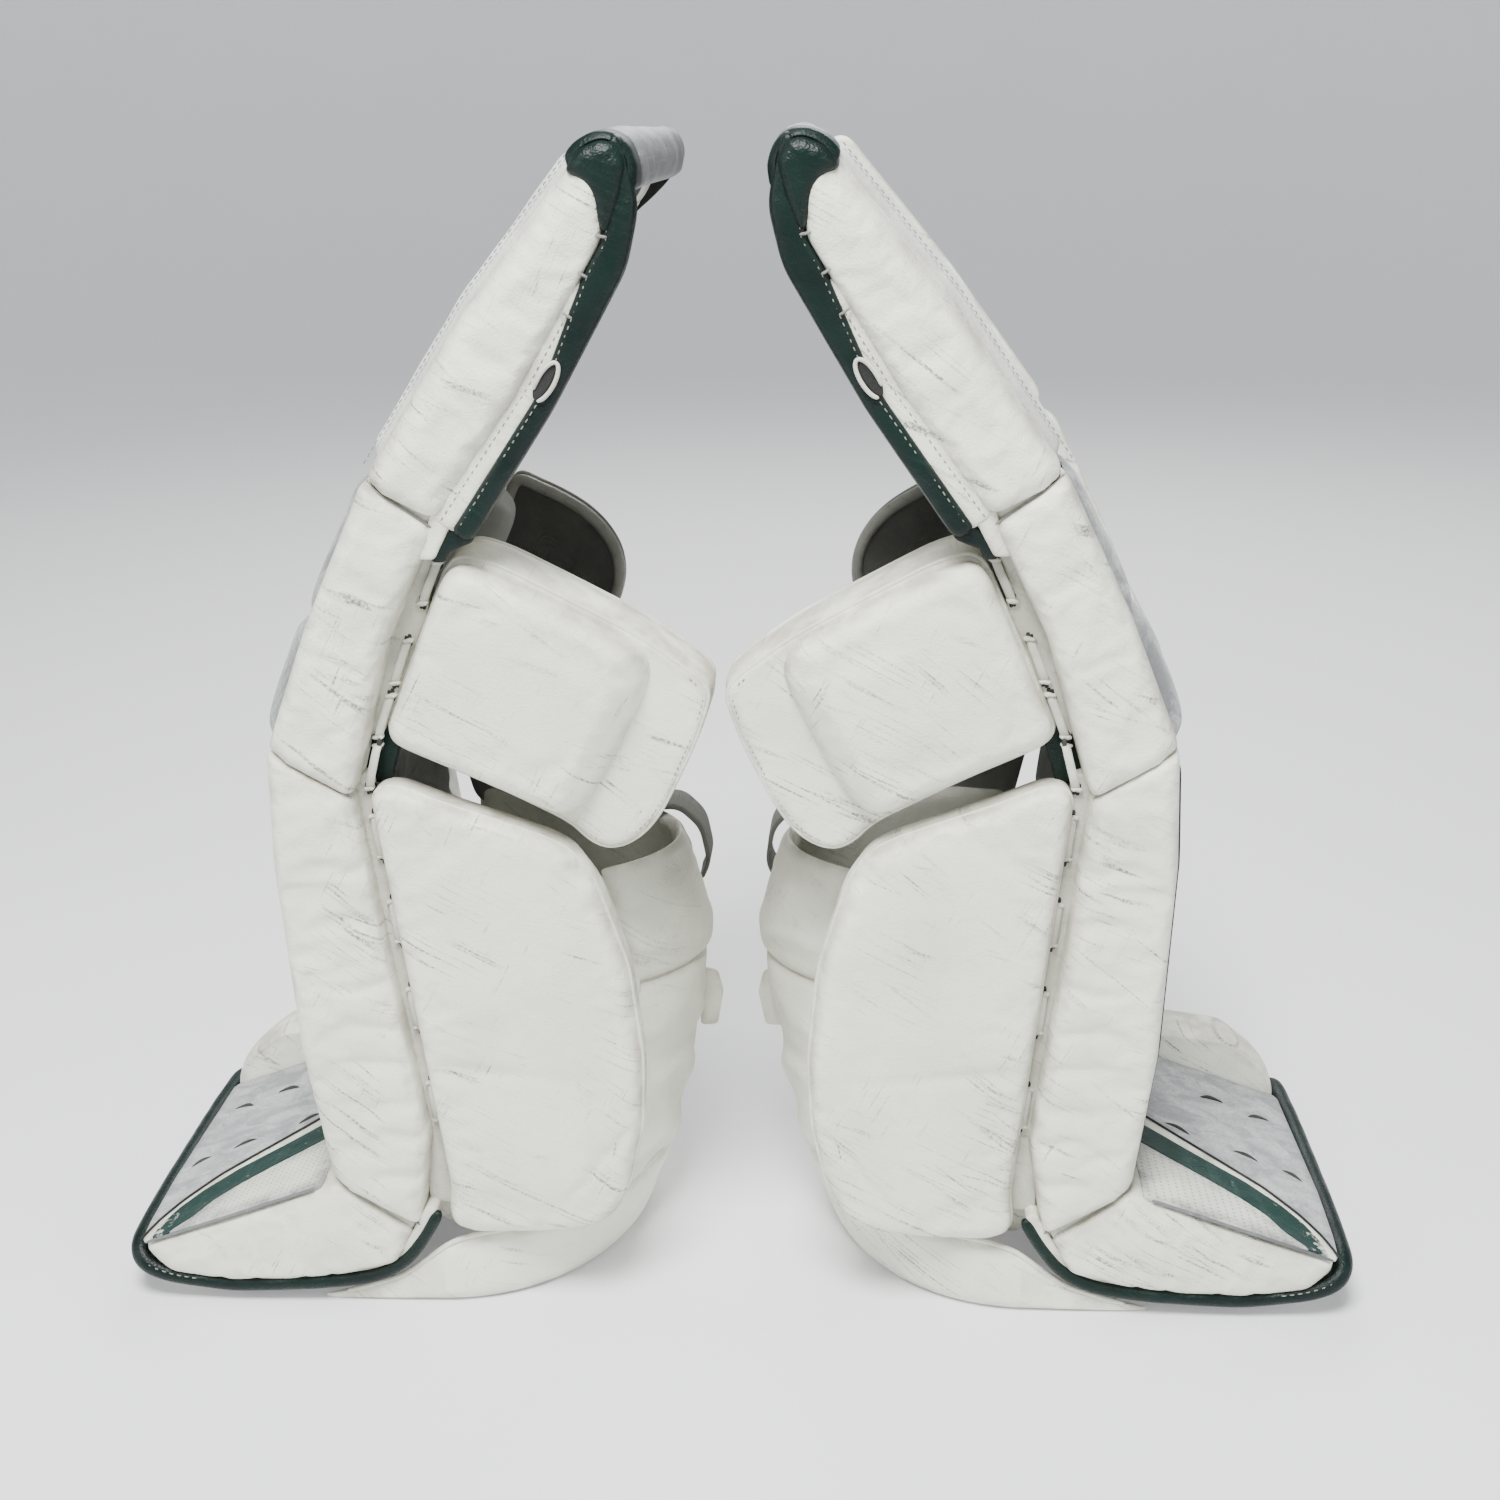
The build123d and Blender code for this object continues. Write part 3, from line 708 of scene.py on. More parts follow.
white = leather("white_leather", (0.80, 0.80, 0.70), (0.71, 0.72, 0.62))
soft_white = leather("soft_white_leather", (0.76, 0.76, 0.66), (0.65, 0.66, 0.57), scuffs=0.3,
                     roughness=0.48, brown=0.55)
green = leather("green_leather", (0.0008, 0.0115, 0.0080), (0.0006, 0.0068, 0.0055),
                scuff=(0.03, 0.06, 0.05), scuffs=0.15, dirt_and_shade=(0.006, 0.009, 0.008), seam_shade=0.8,
                roughness=0.4, brown=0.4, specular=0.22)
worn_green = leather("worn_green_leather", (0.004, 0.027, 0.021), (0.006, 0.027, 0.022),
                     scuff=(0.03, 0.08, 0.065), scuffs=0.5, dirt_and_shade=(0.03, 0.05, 0.045), seam_shade=0.5,
                     brown=0.4, specular=0.25)
black = leather("black_leather", (0.010, 0.011, 0.011), (0.02, 0.021, 0.021),
                scuff=(0.16, 0.17, 0.16), scuffs=0.3, dirt_and_shade=(0.03, 0.03, 0.028), roughness=0.5,
                brown=0.4, specular=0.22)
grey = leather("grey_leather", (0.17, 0.18, 0.185), (0.10, 0.105, 0.11), scuff=(0.42, 0.43, 0.42),
               scuffs=0.6, dirt_and_shade=(0.06, 0.06, 0.055), brown=0.5)
# Painted shade: this grey is darker than the outer knee wing's leather, because the wing stands in
# shadow.
shaded_pale_grey = leather("pale_grey_leather", (0.30, 0.305, 0.28), (0.20, 0.205, 0.19),
                    scuff=(0.09, 0.09, 0.085), scuffs=0.6, dirt_and_shade=(0.2, 0.18, 0.15), brown=0.5)
marble = marbled("marbled_leather", (0.60, 0.61, 0.60), (0.27, 0.275, 0.28))
marble_pale = marbled("pale_brushed_leather", (0.72, 0.73, 0.68), (0.56, 0.565, 0.54), 0.3)
marble_dark = marbled("worn_marbled_leather", (0.44, 0.45, 0.45), (0.19, 0.195, 0.2), 0.6)
lining = woven("grey_lining", (0.38, 0.39, 0.37), (0.28, 0.285, 0.275))
pale_lining = woven("pale_lining", (0.62, 0.63, 0.58), (0.5, 0.51, 0.46))
# Painted shade: the grey lining darkened for the outer wing's lining, which stands in shadow.
shaded_dark_lining = woven("shaded_dark_lining", (0.17, 0.17, 0.155), (0.11, 0.11, 0.10))
core_foam = foam("core_foam", (0.09, 0.09, 0.095))
thread = woven("white_thread", (0.72, 0.73, 0.66), (0.5, 0.5, 0.44), across=2600)
lace = leather("lace_leather", (0.66, 0.67, 0.6), (0.48, 0.48, 0.42), scuffs=0.4, seam_shade=0.6,
               grain=0.1)
webbing = woven("strap_webbing", (0.15, 0.155, 0.125), (0.1, 0.105, 0.085), across=620)
# A darker copy of the white leather: painted shade for the lacing valleys and the breaks.
shadow_leather = leather("shaded_valley_leather", (0.60, 0.60, 0.52), (0.48, 0.48, 0.41), scuffs=0.5,
                         seam_shade=0.6)
hole_dark = foam("eyelet_shadow", (0.055, 0.055, 0.05))
marble_face = marbled("boot_marbled_leather", (0.5, 0.51, 0.51), (0.27, 0.275, 0.285), 0.5)
dotted = perforated("boot_perforated_leather", (0.74, 0.75, 0.67), (0.64, 0.65, 0.58),
                    ((0.94, 0.0, 0.34), (0, 1, 0)), 4.4 * MM, 0.55 * MM)
toe_worn(worn_green, 0.385, 0.412, (0.55, 0.56, 0.52))

# A slot name for each material.
SLOTS = {material.name: slot for slot, materials in {"white_leather": (white, soft_white,
            shadow_leather, dotted, thread), "green_leather": (green, worn_green, black),
        "grey_leather": (grey, shaded_pale_grey), "marbled_leather": (marble, marble_pale, marble_dark,
            marble_face), "grey_lining": (lining, pale_lining, shaded_dark_lining),
        "lace_leather": (lace, hole_dark), "strap_webbing": (webbing,),
        "core_foam": (core_foam,)}.items() for material in materials}

# -------------------------------------------------------------------------- camera, light
camera_data = bpy.data.cameras.new("camera")
camera_data.lens = 46.79
camera_data.sensor_width = 36
camera_data.clip_end = 30
camera = bpy.data.objects.new("camera", camera_data)
bpy.context.scene.collection.objects.link(camera)
bpy.context.scene.camera = camera
middle = (cad_box[0] + cad_box[1]) / 2
# The camera was fitted to the photo: its angles in radians, and its place from the box's middle.
yaw, pitch, roll = -0.061866, 0.3367314, -0.0199193
EYE_RIGHT, EYE_BACK, EYE_HEIGHT = 0.0915, 1.2763, 0.8088
ahead = Vector((math.sin(yaw) * math.cos(pitch), math.cos(yaw) * math.cos(pitch), -math.sin(pitch)))
right = Vector((math.cos(yaw), -math.sin(yaw), 0))
above = right.cross(ahead)
tilted = right * math.cos(roll) + above * math.sin(roll)
upright = above * math.cos(roll) - right * math.sin(roll)
eye = Vector((middle.x + EYE_RIGHT, middle.y - EYE_BACK, cad_box[0].z + EYE_HEIGHT))
camera.matrix_world = Matrix.Translation(eye) @ Matrix((tilted, upright,
        -ahead)).transposed().to_4x4()

world = bpy.data.worlds.new("studio")
world.use_nodes = True
world.node_tree.nodes["Background"].inputs["Color"].default_value = (0.97, 0.985, 1.0, 1)
world.node_tree.nodes["Background"].inputs["Strength"].default_value = 0.28
bpy.context.scene.world = world


def softbox(name, place, aim, size, power, colour=(1, 1, 1)):
    """A square area light at place that looks at aim."""
    data = bpy.data.lights.new(name, "AREA")
    data.size, data.energy, data.color = size, power, colour
    lamp = bpy.data.objects.new(name, data)
    bpy.context.scene.collection.objects.link(lamp)
    lamp.location = place
    lamp.rotation_mode = "QUATERNION"
    lamp.rotation_quaternion = (Vector(aim) - Vector(place)).to_track_quat("-Z", "Y")


softbox("overhead", (-0.15, -1.15, 2.5), (0, 0, 0.35), 0.9, 150)
softbox("front_left", (-2.3, -1.5, 1.3), (0, 0, 0.35), 0.9, 24, (1, 0.995, 0.98))
softbox("front_right", (2.3, -1.5, 1.3), (0, 0, 0.35), 0.9, 18, (0.97, 0.985, 1))
softbox("behind", (0.2, 2.2, 2.2), (0, 0, 0.3), 1.5, 55)

# A round studio floor that curves up into its backdrop on every side, a hair below the pads.
floor_line = resampled(rounded([(0.02, 0), (6.2, 0), (6.6, 3.4)], 2400, False, 16), 0.2)
FLOOR_SIDES = 64
floor_turns = np.linspace(0, 2 * math.pi, FLOOR_SIDES + 1)[:-1]
floor_points = [(r * math.cos(t), r * math.sin(t), z - 0.0004) for r, z in floor_line
                for t in floor_turns]
floor_faces = [[i * FLOOR_SIDES + j, (i + 1) * FLOOR_SIDES + j,
                (i + 1) * FLOOR_SIDES + (j + 1) % FLOOR_SIDES,
                i * FLOOR_SIDES + (j + 1) % FLOOR_SIDES] for i in range(len(floor_line) - 1)
               for j in range(FLOOR_SIDES)]
floor_faces.append(list(range(FLOOR_SIDES)))
floor_mesh = bpy.data.meshes.new("floor")
floor_mesh.from_pydata(floor_points, [], floor_faces)
floor_mesh.polygons.foreach_set("use_smooth", [True] * len(floor_mesh.polygons))
floor = bpy.data.objects.new("floor", floor_mesh)
bpy.context.scene.collection.objects.link(floor)
paper = Recipe("studio_paper", roughness=0.7, specular=0.2)
paper.bump((paper.noise(90, 3), 0.0002))
paper.shader.inputs["Emission Color"].default_value = (0.97, 0.98, 1, 1)
paper.shader.inputs["Emission Strength"].default_value = 0.2
floor_mesh.materials.append(paper.finish(paper.mix(paper.noise(2.5, 2), (0.78, 0.785, 0.80),
            (0.75, 0.755, 0.77))))


# ------------------------------------------------------------ side rolls, medial side
# Directions in a side view: the pad's front and back low down, and up and down the knee.
lo, hi = cad("shin_side_roll")
side_face, side_inner = -lo.y, -hi.y          # the side rolls' outer and inner depth
FRONT_LOW, BACK_LOW = (-1, 0), (1, 0)
AXIS_UP, AXIS_DOWN = (0.5, 0.86), (-0.5, -0.86)


def roll_panel(node, edges, radius, seed, grooves=(), crown=1.5, cap=1.4):
    """A side roll puffed over its CAD outline, and settled by a short simulation."""
    shape = puffed(rounded(outline(node), radius), side_inner + 1 * MM, side_face - 0.5 * MM, edges,
                   crown=crown, lumps=1.1, pucker=0.5, grooves=grooves, seed=seed, spacing=5)
    return settle(medial(shape), shape[2] < 3 * MM, cap=cap)


thigh_loop, knee_loop, shin_loop = (outline(n) for n in ("thigh_side_roll", "knee_side_roll",
        "shin_side_roll"))
pair("thigh_side_roll", roll_panel("thigh_side_roll", [((-0.83, 0.56), 20, 15),
            ((0.83, -0.56), 10, 9), ((0.35, 0.95), 14, 10), ((-0.55, -0.84), 7, 5)], seed=1,
        radius=9), "thigh", white)
pair("knee_side_roll", roll_panel("knee_side_roll", [((-0.93, 0.37), 13, 10), ((0.93, -0.37), 9, 8),
            (AXIS_UP, 7, 5), (AXIS_DOWN, 7, 5)], seed=2, radius=5), "leg", white)
# Short creases run in from the shin roll's back seam, at these shares of its length.
shin_back = resampled(corners(shin_loop, (-233, 376), (-220, 265), (-202, 130), (-212, 62)), 1,
                      count=101)
shin_folds = []
for k, share in enumerate((0.16, 0.27, 0.41, 0.52, 0.6, 0.69, 0.78, 0.87)):
    start = shin_back[int(share * 100)]
    shin_folds.append(([start, start + [-30 * MM, (5 - 4 * (k % 3)) * MM]], 1.9, 5))
pair("shin_side_roll", roll_panel("shin_side_roll", [(FRONT_LOW, 12, 9), (BACK_LOW, 9, 8),
            (AXIS_UP, 7, 5), ((-0.5, -0.86), 7, 5)], seed=3, radius=5, grooves=shin_folds, cap=2.4),
     "leg", white)
pair("boot_side_panel", roll_panel("boot_side_panel", [((-0.37, 0.93), 8, 6), ((0.6, 0.8), 7, 5),
            ((0, -1), 11, 12), ((-0.9, -0.4), 12, 12)], seed=4, radius=6, crown=2), "boot", white)


def at_depth(line, depth):
    """A side-view line as points that far towards the medial side."""
    return np.array([(p[0], -depth, p[1]) for p in line])


# Cords along the seams: dark piping down the shin's front, and seam threads at the breaks.
shin_front = resampled(corners(shin_loop, (-270, 96), (-283, 195), (-289, 330), (-286, 407)),
                       6 * MM)
pair("shin_front_piping", tube(at_depth(sideways(shin_front[:-2], 0.8 * MM), side_face - 19 * MM),
        1.7 * MM), "leg", black)
for name, loop, start, end, body in (("knee_seam_cord", knee_loop, (-211, 578), (-169, 550), "leg"),
        ("shin_seam_cord", shin_loop, (-286, 407), (-233, 376), "leg"),
        ("ankle_seam_cord", shin_loop, (-270, 96), (-212, 62), "leg")):
    line = resampled(corners(loop, start, end), 4 * MM)
    depth = side_face - 6 * MM - 16 * MM * np.clip(1 - np.linspace(0, 1, len(line)) * 3.2, 0,
        1) ** 2
    pair(name, tube(np.column_stack([line[:, 0], -depth, line[:, 1]]), 1.0 * MM, sides=8), body,
         thread)


def thinned(shape):
    """The thigh rise thins towards its lateral side, where it has no roll behind."""
    points, faces, seam = shape
    points = points.copy()
    front = corners(thigh_loop, (-211, 578), (-72, 764))
    ahead = (front[1] - front[0]) / np.linalg.norm(front[1] - front[0])
    back_way = np.array([ahead[1], -ahead[0]])
    behind = (points[:, [0, 2]] - front[0]) @ back_way
    share = np.clip((points[:, 1] + side_inner) / (2 * side_inner), 0, 1)
    share = share * share * (3 - 2 * share) * np.interp(points[:, 2], [0.56, 0.60, 0.69, 0.75],
        [0.55, 1, 1, 0.2])
    move = 30 * MM * share * np.clip(behind / (45 * MM), 0, 1.3)
    points[:, [0, 2]] -= move[:, None] * back_way
    return points, faces, seam


# ------------------------------------------------------------------- cores inside the pads
for node, body in (("leg_core", "leg"), ("thigh_core", "thigh"), ("boot_core", "boot")):
    lo, hi = cad(node)
    shape = puffed(rounded(outline(node), 6), lo.y + 1 * MM, hi.y - 1 * MM, [((0, 1), 3, 2)],
                   spacing=14, wall=-1, lumps=0.3)
    shape = thinned(medial(shape)) if node == "thigh_core" else medial(shape)
    pair(node, shape, body, core_foam)


# --------------------------------------------------------------- faces, knee rolls, liner
def face_sheet(line, low_y, high_y, thick, edge, relief=None, spacing=6):
    """A padded sheet on a side-view line, thick towards the line's left, between two depths.

    Its thickness, edge and spacing are in millimetres.
    """
    thick, edge, spacing = thick * MM, edge * MM, spacing * MM
    line = resampled(line, spacing)
    out = sideways(line, 1.0) - line
    along = np.concatenate([[0], np.cumsum(np.linalg.norm(np.diff(line, axis=0), axis=1))])

    def place(u, v, depth):
        at = [np.interp(u, along, line[:, k]) + np.interp(u, along, out[:, k]) * (thick - depth)
              for k in (0, 1)]
        return (at[0], v, at[1])

    ys = np.linspace(low_y, high_y, max(4, int((high_y - low_y) / spacing) + 1))
    return quilt(place, along, ys, thick, edge, relief)


def crinkle(size, scale, seed):
    """Relief of a loosely fitted leather face, size mm high."""
    return lambda u, v: size * MM * (noise.noise(Vector((u * scale, v * scale * 0.6, seed)))
        + 0.5 * noise.noise(Vector((u * scale * 2.6, v * scale * 2.2, seed + 4))))


core_low, core_high = (cad("leg_core")[k].y for k in (0, 1))
pair("leg_face", face_sheet(shin_front[1:], core_low - 22 * MM, core_high, 3.4, 6,
        crinkle(0.9, 24, 2)), "leg", marble)
thigh_front = corners(thigh_loop, (-211, 578), (-142, 679), (-72, 764))
thigh_line = resampled(thigh_front, 6 * MM)[1:]
pair("thigh_face", face_sheet(thigh_line, core_low - 14 * MM, core_high, 10, 12,
        crinkle(0.8, 22, 7)), "thigh", marble_pale, slot="white_leather")
face_row = sideways(resampled(thigh_front, 6 * MM), 7.5 * MM)
pair("thigh_face_stitching", stitches(np.array([(p[0], core_low - 11 * MM, p[1])
                for p in face_row]), 3, 2, 0.5, out=(-0.6, -0.7, 0.4)), "thigh", thread)
rolls = []
knee_front = corners(knee_loop, (-286, 407), (-254, 488), (-211, 578))
for start, end, bulge in ((knee_front[0], knee_front[1], 11), (knee_front[1], knee_front[2], 7.5)):
    step = (end - start) / np.linalg.norm(end - start)
    rolls.append(face_sheet([start + step * 1.5 * MM, end - step * 1.5 * MM], core_low - 30 * MM,
                            core_high, bulge, 26, crinkle(1.0, 26, 3), spacing=5))
pair("knee_rolls", joined(*rolls), "leg", marble_dark)

liner_box = cad("leg_liner")
liner_line = np.vstack([corners(knee_loop, (-169, 550), (-204, 478)),
                        corners(shin_loop, (-233, 376), (-220, 265), (-202, 130))])
liner_line = rounded(liner_line, 25, False)[1:-1]


def quilted(u, v):
    """Sewn channels across the liner, 45 mm apart."""
    return -3.2 * MM * math.exp(-(((u / (45 * MM)) % 1 - 0.5) * 45
            / 4) ** 2) + 0.5 * MM * noise.noise(Vector((u, v, 1)) * 30)


pair("leg_liner", face_sheet(liner_line, liner_box[0].y, liner_box[1].y, 9, 10, quilted), "leg",
     lining)
thigh_back = rounded(corners(thigh_loop, (-166, 554), (-110, 632), (-57, 718)), 22, False)
pad_box = cad("thigh_back_pad")
pair("thigh_back_pad", thinned(face_sheet(thigh_back[::-1], pad_box[0].y, pad_box[1].y, 11, 12,
            crinkle(1.2, 18, 9))), "thigh", soft_white, slot="grey_lining")

# The cradle's bolster beside the knee, a rounded bar.
cradle_box = cad("knee_cradle")
cradle_line = [(cradle_box[0].x + 9 * MM, cradle_box[0].z + 3 * MM),
               ((cradle_box[0].x * 0.62 + cradle_box[1].x * 0.38) - 2 * MM,
                cradle_box[0].z * 0.52 + cradle_box[1].z * 0.48),
               (cradle_box[1].x - 14 * MM, cradle_box[1].z - 6 * MM)]
cradle_line = rounded(cradle_line, 20, False)[::-1]
pair("knee_cradle", face_sheet(cradle_line, cradle_box[0].y, cradle_box[1].y, 21, 22,
        crinkle(1.0, 30, 5)), "leg", pale_lining)

# ----------------------------------------------------------------- outer rolls, lateral side
for node, body, radius, seed in (("leg_outer_roll", "leg", 10, 11),
        ("thigh_outer_roll", "thigh", 10, 12), ("boot_outer_roll", "boot", 8, 13)):
    lo, hi = cad(node)
    shape = puffed(rounded(outline(node), radius), lo.y + 1 * MM, hi.y - 0.5 * MM,
                   [(FRONT_LOW, 22, 20), (BACK_LOW, 12, 10), ((0, 1), 14, 12), ((0, -1), 11, 9)],
                   crown=1, lumps=1.2, pucker=0.6, seed=seed, spacing=6)
    if node == "leg_outer_roll":
        # A break crosses it at the knee.
        points, height, angle = shape[0], 407 * MM, 0.5
        across = np.abs((points[:, 1] - height) * math.cos(angle)
                        + (points[:, 0] - lo.x) * math.sin(angle))
        points[:, 2] -= 3.5 * MM * np.exp(-(across / (3.5 * MM)) ** 2) * (points[:, 2] > hi.y
            - 25 * MM)
    shape = thinned(lateral(shape)) if body == "thigh" else lateral(shape)
    pair(node, shape, body, white)

# ------------------------------------------------------------------------------ knee block
base_loop, pad_loop = outline("knee_block_base", True), outline("knee_block_pad")
base_box, pad_box = cad("knee_block_base"), cad("knee_block_pad")
base_in, base_out, pad_out = -base_box[1].y, -base_box[0].y, -pad_box[0].y
base_round = rounded(base_loop, 15)
base = puffed(base_round, base_in + 4 * MM, base_out - 0.5 * MM, [((0, 1), 4, 3)], crown=1,
              lumps=0.7, wall=3, pucker=0.5, seed=21)
pair("knee_block_base", medial(base), "knee_block", white)
back_cover = puffed(rounded(base_loop, 14), -base_in - 4.5 * MM, -base_in, [((0, 1), 5, 3.5)],
                    lumps=0.8, wall=0.6, seed=22, spacing=7)
pair("knee_block_lining", lateral(back_cover), "knee_block", lining)
slopes = [((0.87, -0.5), 24, 21), ((-0.3, -0.95), 12, 16), ((-0.92, 0.4), 7, 9),
          ((0.45, 0.9), 9, 10)]
pad_round = rounded(pad_loop, 16)
pad = puffed(pad_round, base_out - 1.5 * MM, pad_out - 1 * MM, slopes, crown=1.2, lumps=0.9,
             pucker=0.45, seed=23, power=1.7, wall=0.3)
pair("knee_block_pad", settle(medial(pad), pad[2] < 8 * MM, slack=0.012, cap=0.9), "knee_block",
     white)
for name, depth in (("knee_block_piping", base_out - 3.4 * MM), ("knee_block_back_piping",
            base_in + 5 * MM)):
    ring = resampled(base_round, 4 * MM, closed=True)
    pair(name, tube(at_depth(ring, depth), 1.7 * MM, sides=8, closed=True), "knee_block",
         soft_white)
rear = run(base_round, (-16, 450), (-86, 341))
rear = rear + (base_loop.mean(0) - rear) * 0.045
pair("knee_block_stitching", stitches(at_depth(rear, base_out - 0.9 * MM), 2.4, 1.6, 0.4),
     "knee_block", thread)

# ------------------------------------------------------------------------------- calf wing
wing_loop = outline("calf_wing")
wing_box = cad("calf_wing")
for spot, moved in (((-184, 64), (-8, -1)), ((-170, 58), (-6, -3))):
    wing_loop[np.linalg.norm(wing_loop - np.array(spot) * MM,
                             axis=1).argmin()] += np.array(moved) * MM
wing_round = rounded(wing_loop, 9)
patch_line = [corner(wing_loop, -62, 256) * [1, 0] + [-4 * MM, 0.142], (-0.098, 0.098),
              (-0.139, 0.056)]
wing = puffed(wing_round, -wing_box[1].y + 0.5 * MM, -wing_box[0].y - 1 * MM,
              [(BACK_LOW, 15, 11), (FRONT_LOW, 8, 7), ((0.4, 0.92), 9, 7), ((0, -1), 15, 11)],
              crown=2, lumps=1.4, lump_scale=11, pucker=0.6, grooves=[(patch_line, 1.3, 1.6)],
              seed=31)
pair("calf_wing", settle(medial(wing), wing[2] < 3 * MM, slack=0.014, cap=1.3), "calf_wing", white)
wing_ring = resampled(wing_round, 4 * MM, closed=True)
pair("calf_wing_piping", tube(at_depth(wing_ring, -wing_box[1].y + 19 * MM), 1.6 * MM, sides=8,
        closed=True), "calf_wing", soft_white)
wing_rear = corners(wing_loop, (-81, 316), (-62, 256), (-55, 190), (-57, 140), (-66, 98))
wing_rear = rounded(wing_rear, 25, False) + [-15 * MM, 0]
pair("calf_wing_stitching", stitches(at_depth(wing_rear, -wing_box[0].y - 1.4 * MM), 2.4, 1.8, 0.4),
     "calf_wing", thread)

# ------------------------------------------------- calf wrap, flap and heel, round the leg
LEG_MIDDLE = -0.2
WRAP_SEAM = 0.212      # height of the wrap's level seam
WRAP_THICK = 12 * MM


def section(node, level):
    """How far the U reaches behind the leg's middle and beside it, at one height of a node."""
    points = cad_points(node)
    points = points[np.abs(points[:, 2] - level) < 0.6 * MM]
    beside = points[:, 1].max()
    back = points[points[:, 0].argmax()]
    return (back[0] - LEG_MIDDLE) / math.sqrt(1 - (back[1] / beside) ** 2), beside


sections = np.array([(0.0, *section("heel_piece", 0.0))] + [(level, *section("calf_wrap", level))
        for level in (0.06, 0.128, 0.24, 0.3)])


def around(level, turn, depth):
    """A point of the U at a height. turn is 0 medial, 90 behind and 180 lateral, in degrees.

    Beyond those it carries straight on forward, in metres past the leg's middle line.
    """
    behind, beside = (np.interp(level, sections[:, 0], sections[:, k]) - depth for k in (1, 2))
    if turn < 0:
        return np.array([LEG_MIDDLE + turn, -beside, level])
    if turn > 180:
        return np.array([LEG_MIDDLE - (turn - 180), beside, level])
    angle = math.radians(turn)
    return np.array([LEG_MIDDLE + behind * math.sin(angle), -beside * math.cos(angle), level])


def turn_at(level, y):
    """The turn at which the U's outside stands at y."""
    return math.degrees(math.acos(np.clip(-y / np.interp(level, sections[:, 0], sections[:, 2]), -1,
                1)))


def u_panel(turns, levels, thick, edge, relief=None):
    """A padded stretch of the U between two turns at each height, as a quilt in metres."""
    levels = np.asarray(levels, float)
    length = 0.14 * math.radians(abs(turns(0.2)[1] - turns(0.2)[0]))

    def place(u, v, depth):
        start, end = turns(u)
        return around(u, start + (end - start) * v / length, depth)

    across = np.linspace(0, length, max(5, int(length / (6 * MM))))
    points, faces, seam = quilt(place, levels, across, thick, edge, relief, back=False)
    # The seam value also falls to 0 along the level sewn line, so the materials paint shade into
    # that groove.
    return points, faces, np.minimum(seam, 1.6 * np.abs(points[:, 2] - WRAP_SEAM))


def sagged(seed, size=6.5 * MM):
    """Soft folds of the wrap, mostly level, with a sewn line near half its height."""
    def relief(u, v):
        folds = noise.noise(Vector((u * 30 + v * 14, v * 16, seed)))
        fine = noise.noise(Vector((u * 85, v * 22, seed + 2)))
        line = math.exp(-((u - WRAP_SEAM) / (3.0 * MM)) ** 2)
        return size * (folds - 0.3) + 0.3 * size * fine - 4 * MM * line
    return relief


flap_box, wrap_box = cad("calf_flap"), cad("calf_wrap")
flap_levels = np.union1d(np.linspace(flap_box[0].z - 5 * MM, flap_box[1].z, 54),
                         WRAP_SEAM + np.array([-2, 0, 2]) * MM)


def flap_turns(level):
    return turn_at(level, flap_box[0].y) - 8, turn_at(level, flap_box[1].y)


def wrap_turns(level):
    return turn_at(level, wrap_box[0].y), 180.0


pair("calf_flap", u_panel(flap_turns, flap_levels, WRAP_THICK, 8 * MM, sagged(1.0)), "calf_flap",
     soft_white)
pair("calf_wrap", u_panel(wrap_turns, flap_levels, WRAP_THICK, 8 * MM, sagged(2.0)), "leg",
     soft_white)


def hinge_turns(level):
    return turn_at(level, flap_box[1].y) - 5, turn_at(level, wrap_box[0].y) + 5


def under(turns, levels, depth, thick):
    """A thin lining panel that deep inside the U's outside."""
    def place(u, v, inner):
        start, end = turns(u)
        return around(u, start + (end - start) * v, depth + inner)
    return quilt(place, levels, np.linspace(0, 1, 26), thick, 0.05, None, back=False)


pair("flap_hinge_leather", under(hinge_turns, flap_levels[2:-2], 3 * MM, 4 * MM), "leg", soft_white,
     bend=("leg", "calf_flap", around(0.2, turn_at(0.2, wrap_box[0].y), 4 * MM),
           around(0.2, turn_at(0.2, flap_box[1].y), 4 * MM)))


def inner_turns(level):
    beside = np.interp(level, sections[:, 0], sections[:, 2])
    return turn_at(level, -0.99 * beside), turn_at(level, flap_box[0].y) - 3


pair("wrap_inner_panel", under(inner_turns, flap_levels[1:-1], 4 * MM, 4 * MM), "leg", soft_white)
heel_box = cad("heel_piece")
heel_rim = [(-0.285, 0.0025), (-0.262, 0.008), (-0.230, 0.018), (-0.209, 0.033), (-0.195, 0.044),
            (-0.178, 0.05), (-0.1, 0.056), (-0.06, 0.066)]


def heel_point(u, v, depth):
    """A point of the heel: u is the share of its height there, v the turn."""
    x = around(0.02, v, 0)[0]
    top = np.interp(x, *np.transpose(heel_rim)) + heel_box[0].z
    return around(0.5 * MM + (top - 0.5 * MM) * u, v, depth)


def heel_quilt():
    """The heel's shell, thinner towards its rim, with a piped seam along its top."""
    shares = np.linspace(0, 1, 12)
    forward = LEG_MIDDLE - heel_box[0].x
    turns = np.concatenate([-np.linspace(forward, 0.004, 12), np.linspace(0, 180, 60),
                            180 + np.linspace(0.004, forward, 12)])
    points, faces, seam = quilt(heel_point, shares, turns, WRAP_THICK, 0.35, lambda u,
        v: 0.9 * MM * noise.noise(Vector((u * 3, v * 0.05, 5))), back=False)
    return points, faces, seam * 0.05


pair("heel_piece", heel_quilt(), "leg", white)
heel_turns = np.concatenate([-np.linspace(0.07, 0.004, 10), np.linspace(0, 180, 60),
        180 + np.linspace(0.004, 0.07, 10)])
pair("heel_piping", tube([heel_point(1.0, t, 4.5 * MM) for t in heel_turns], 2.1 * MM, sides=8),
     "leg", soft_white)


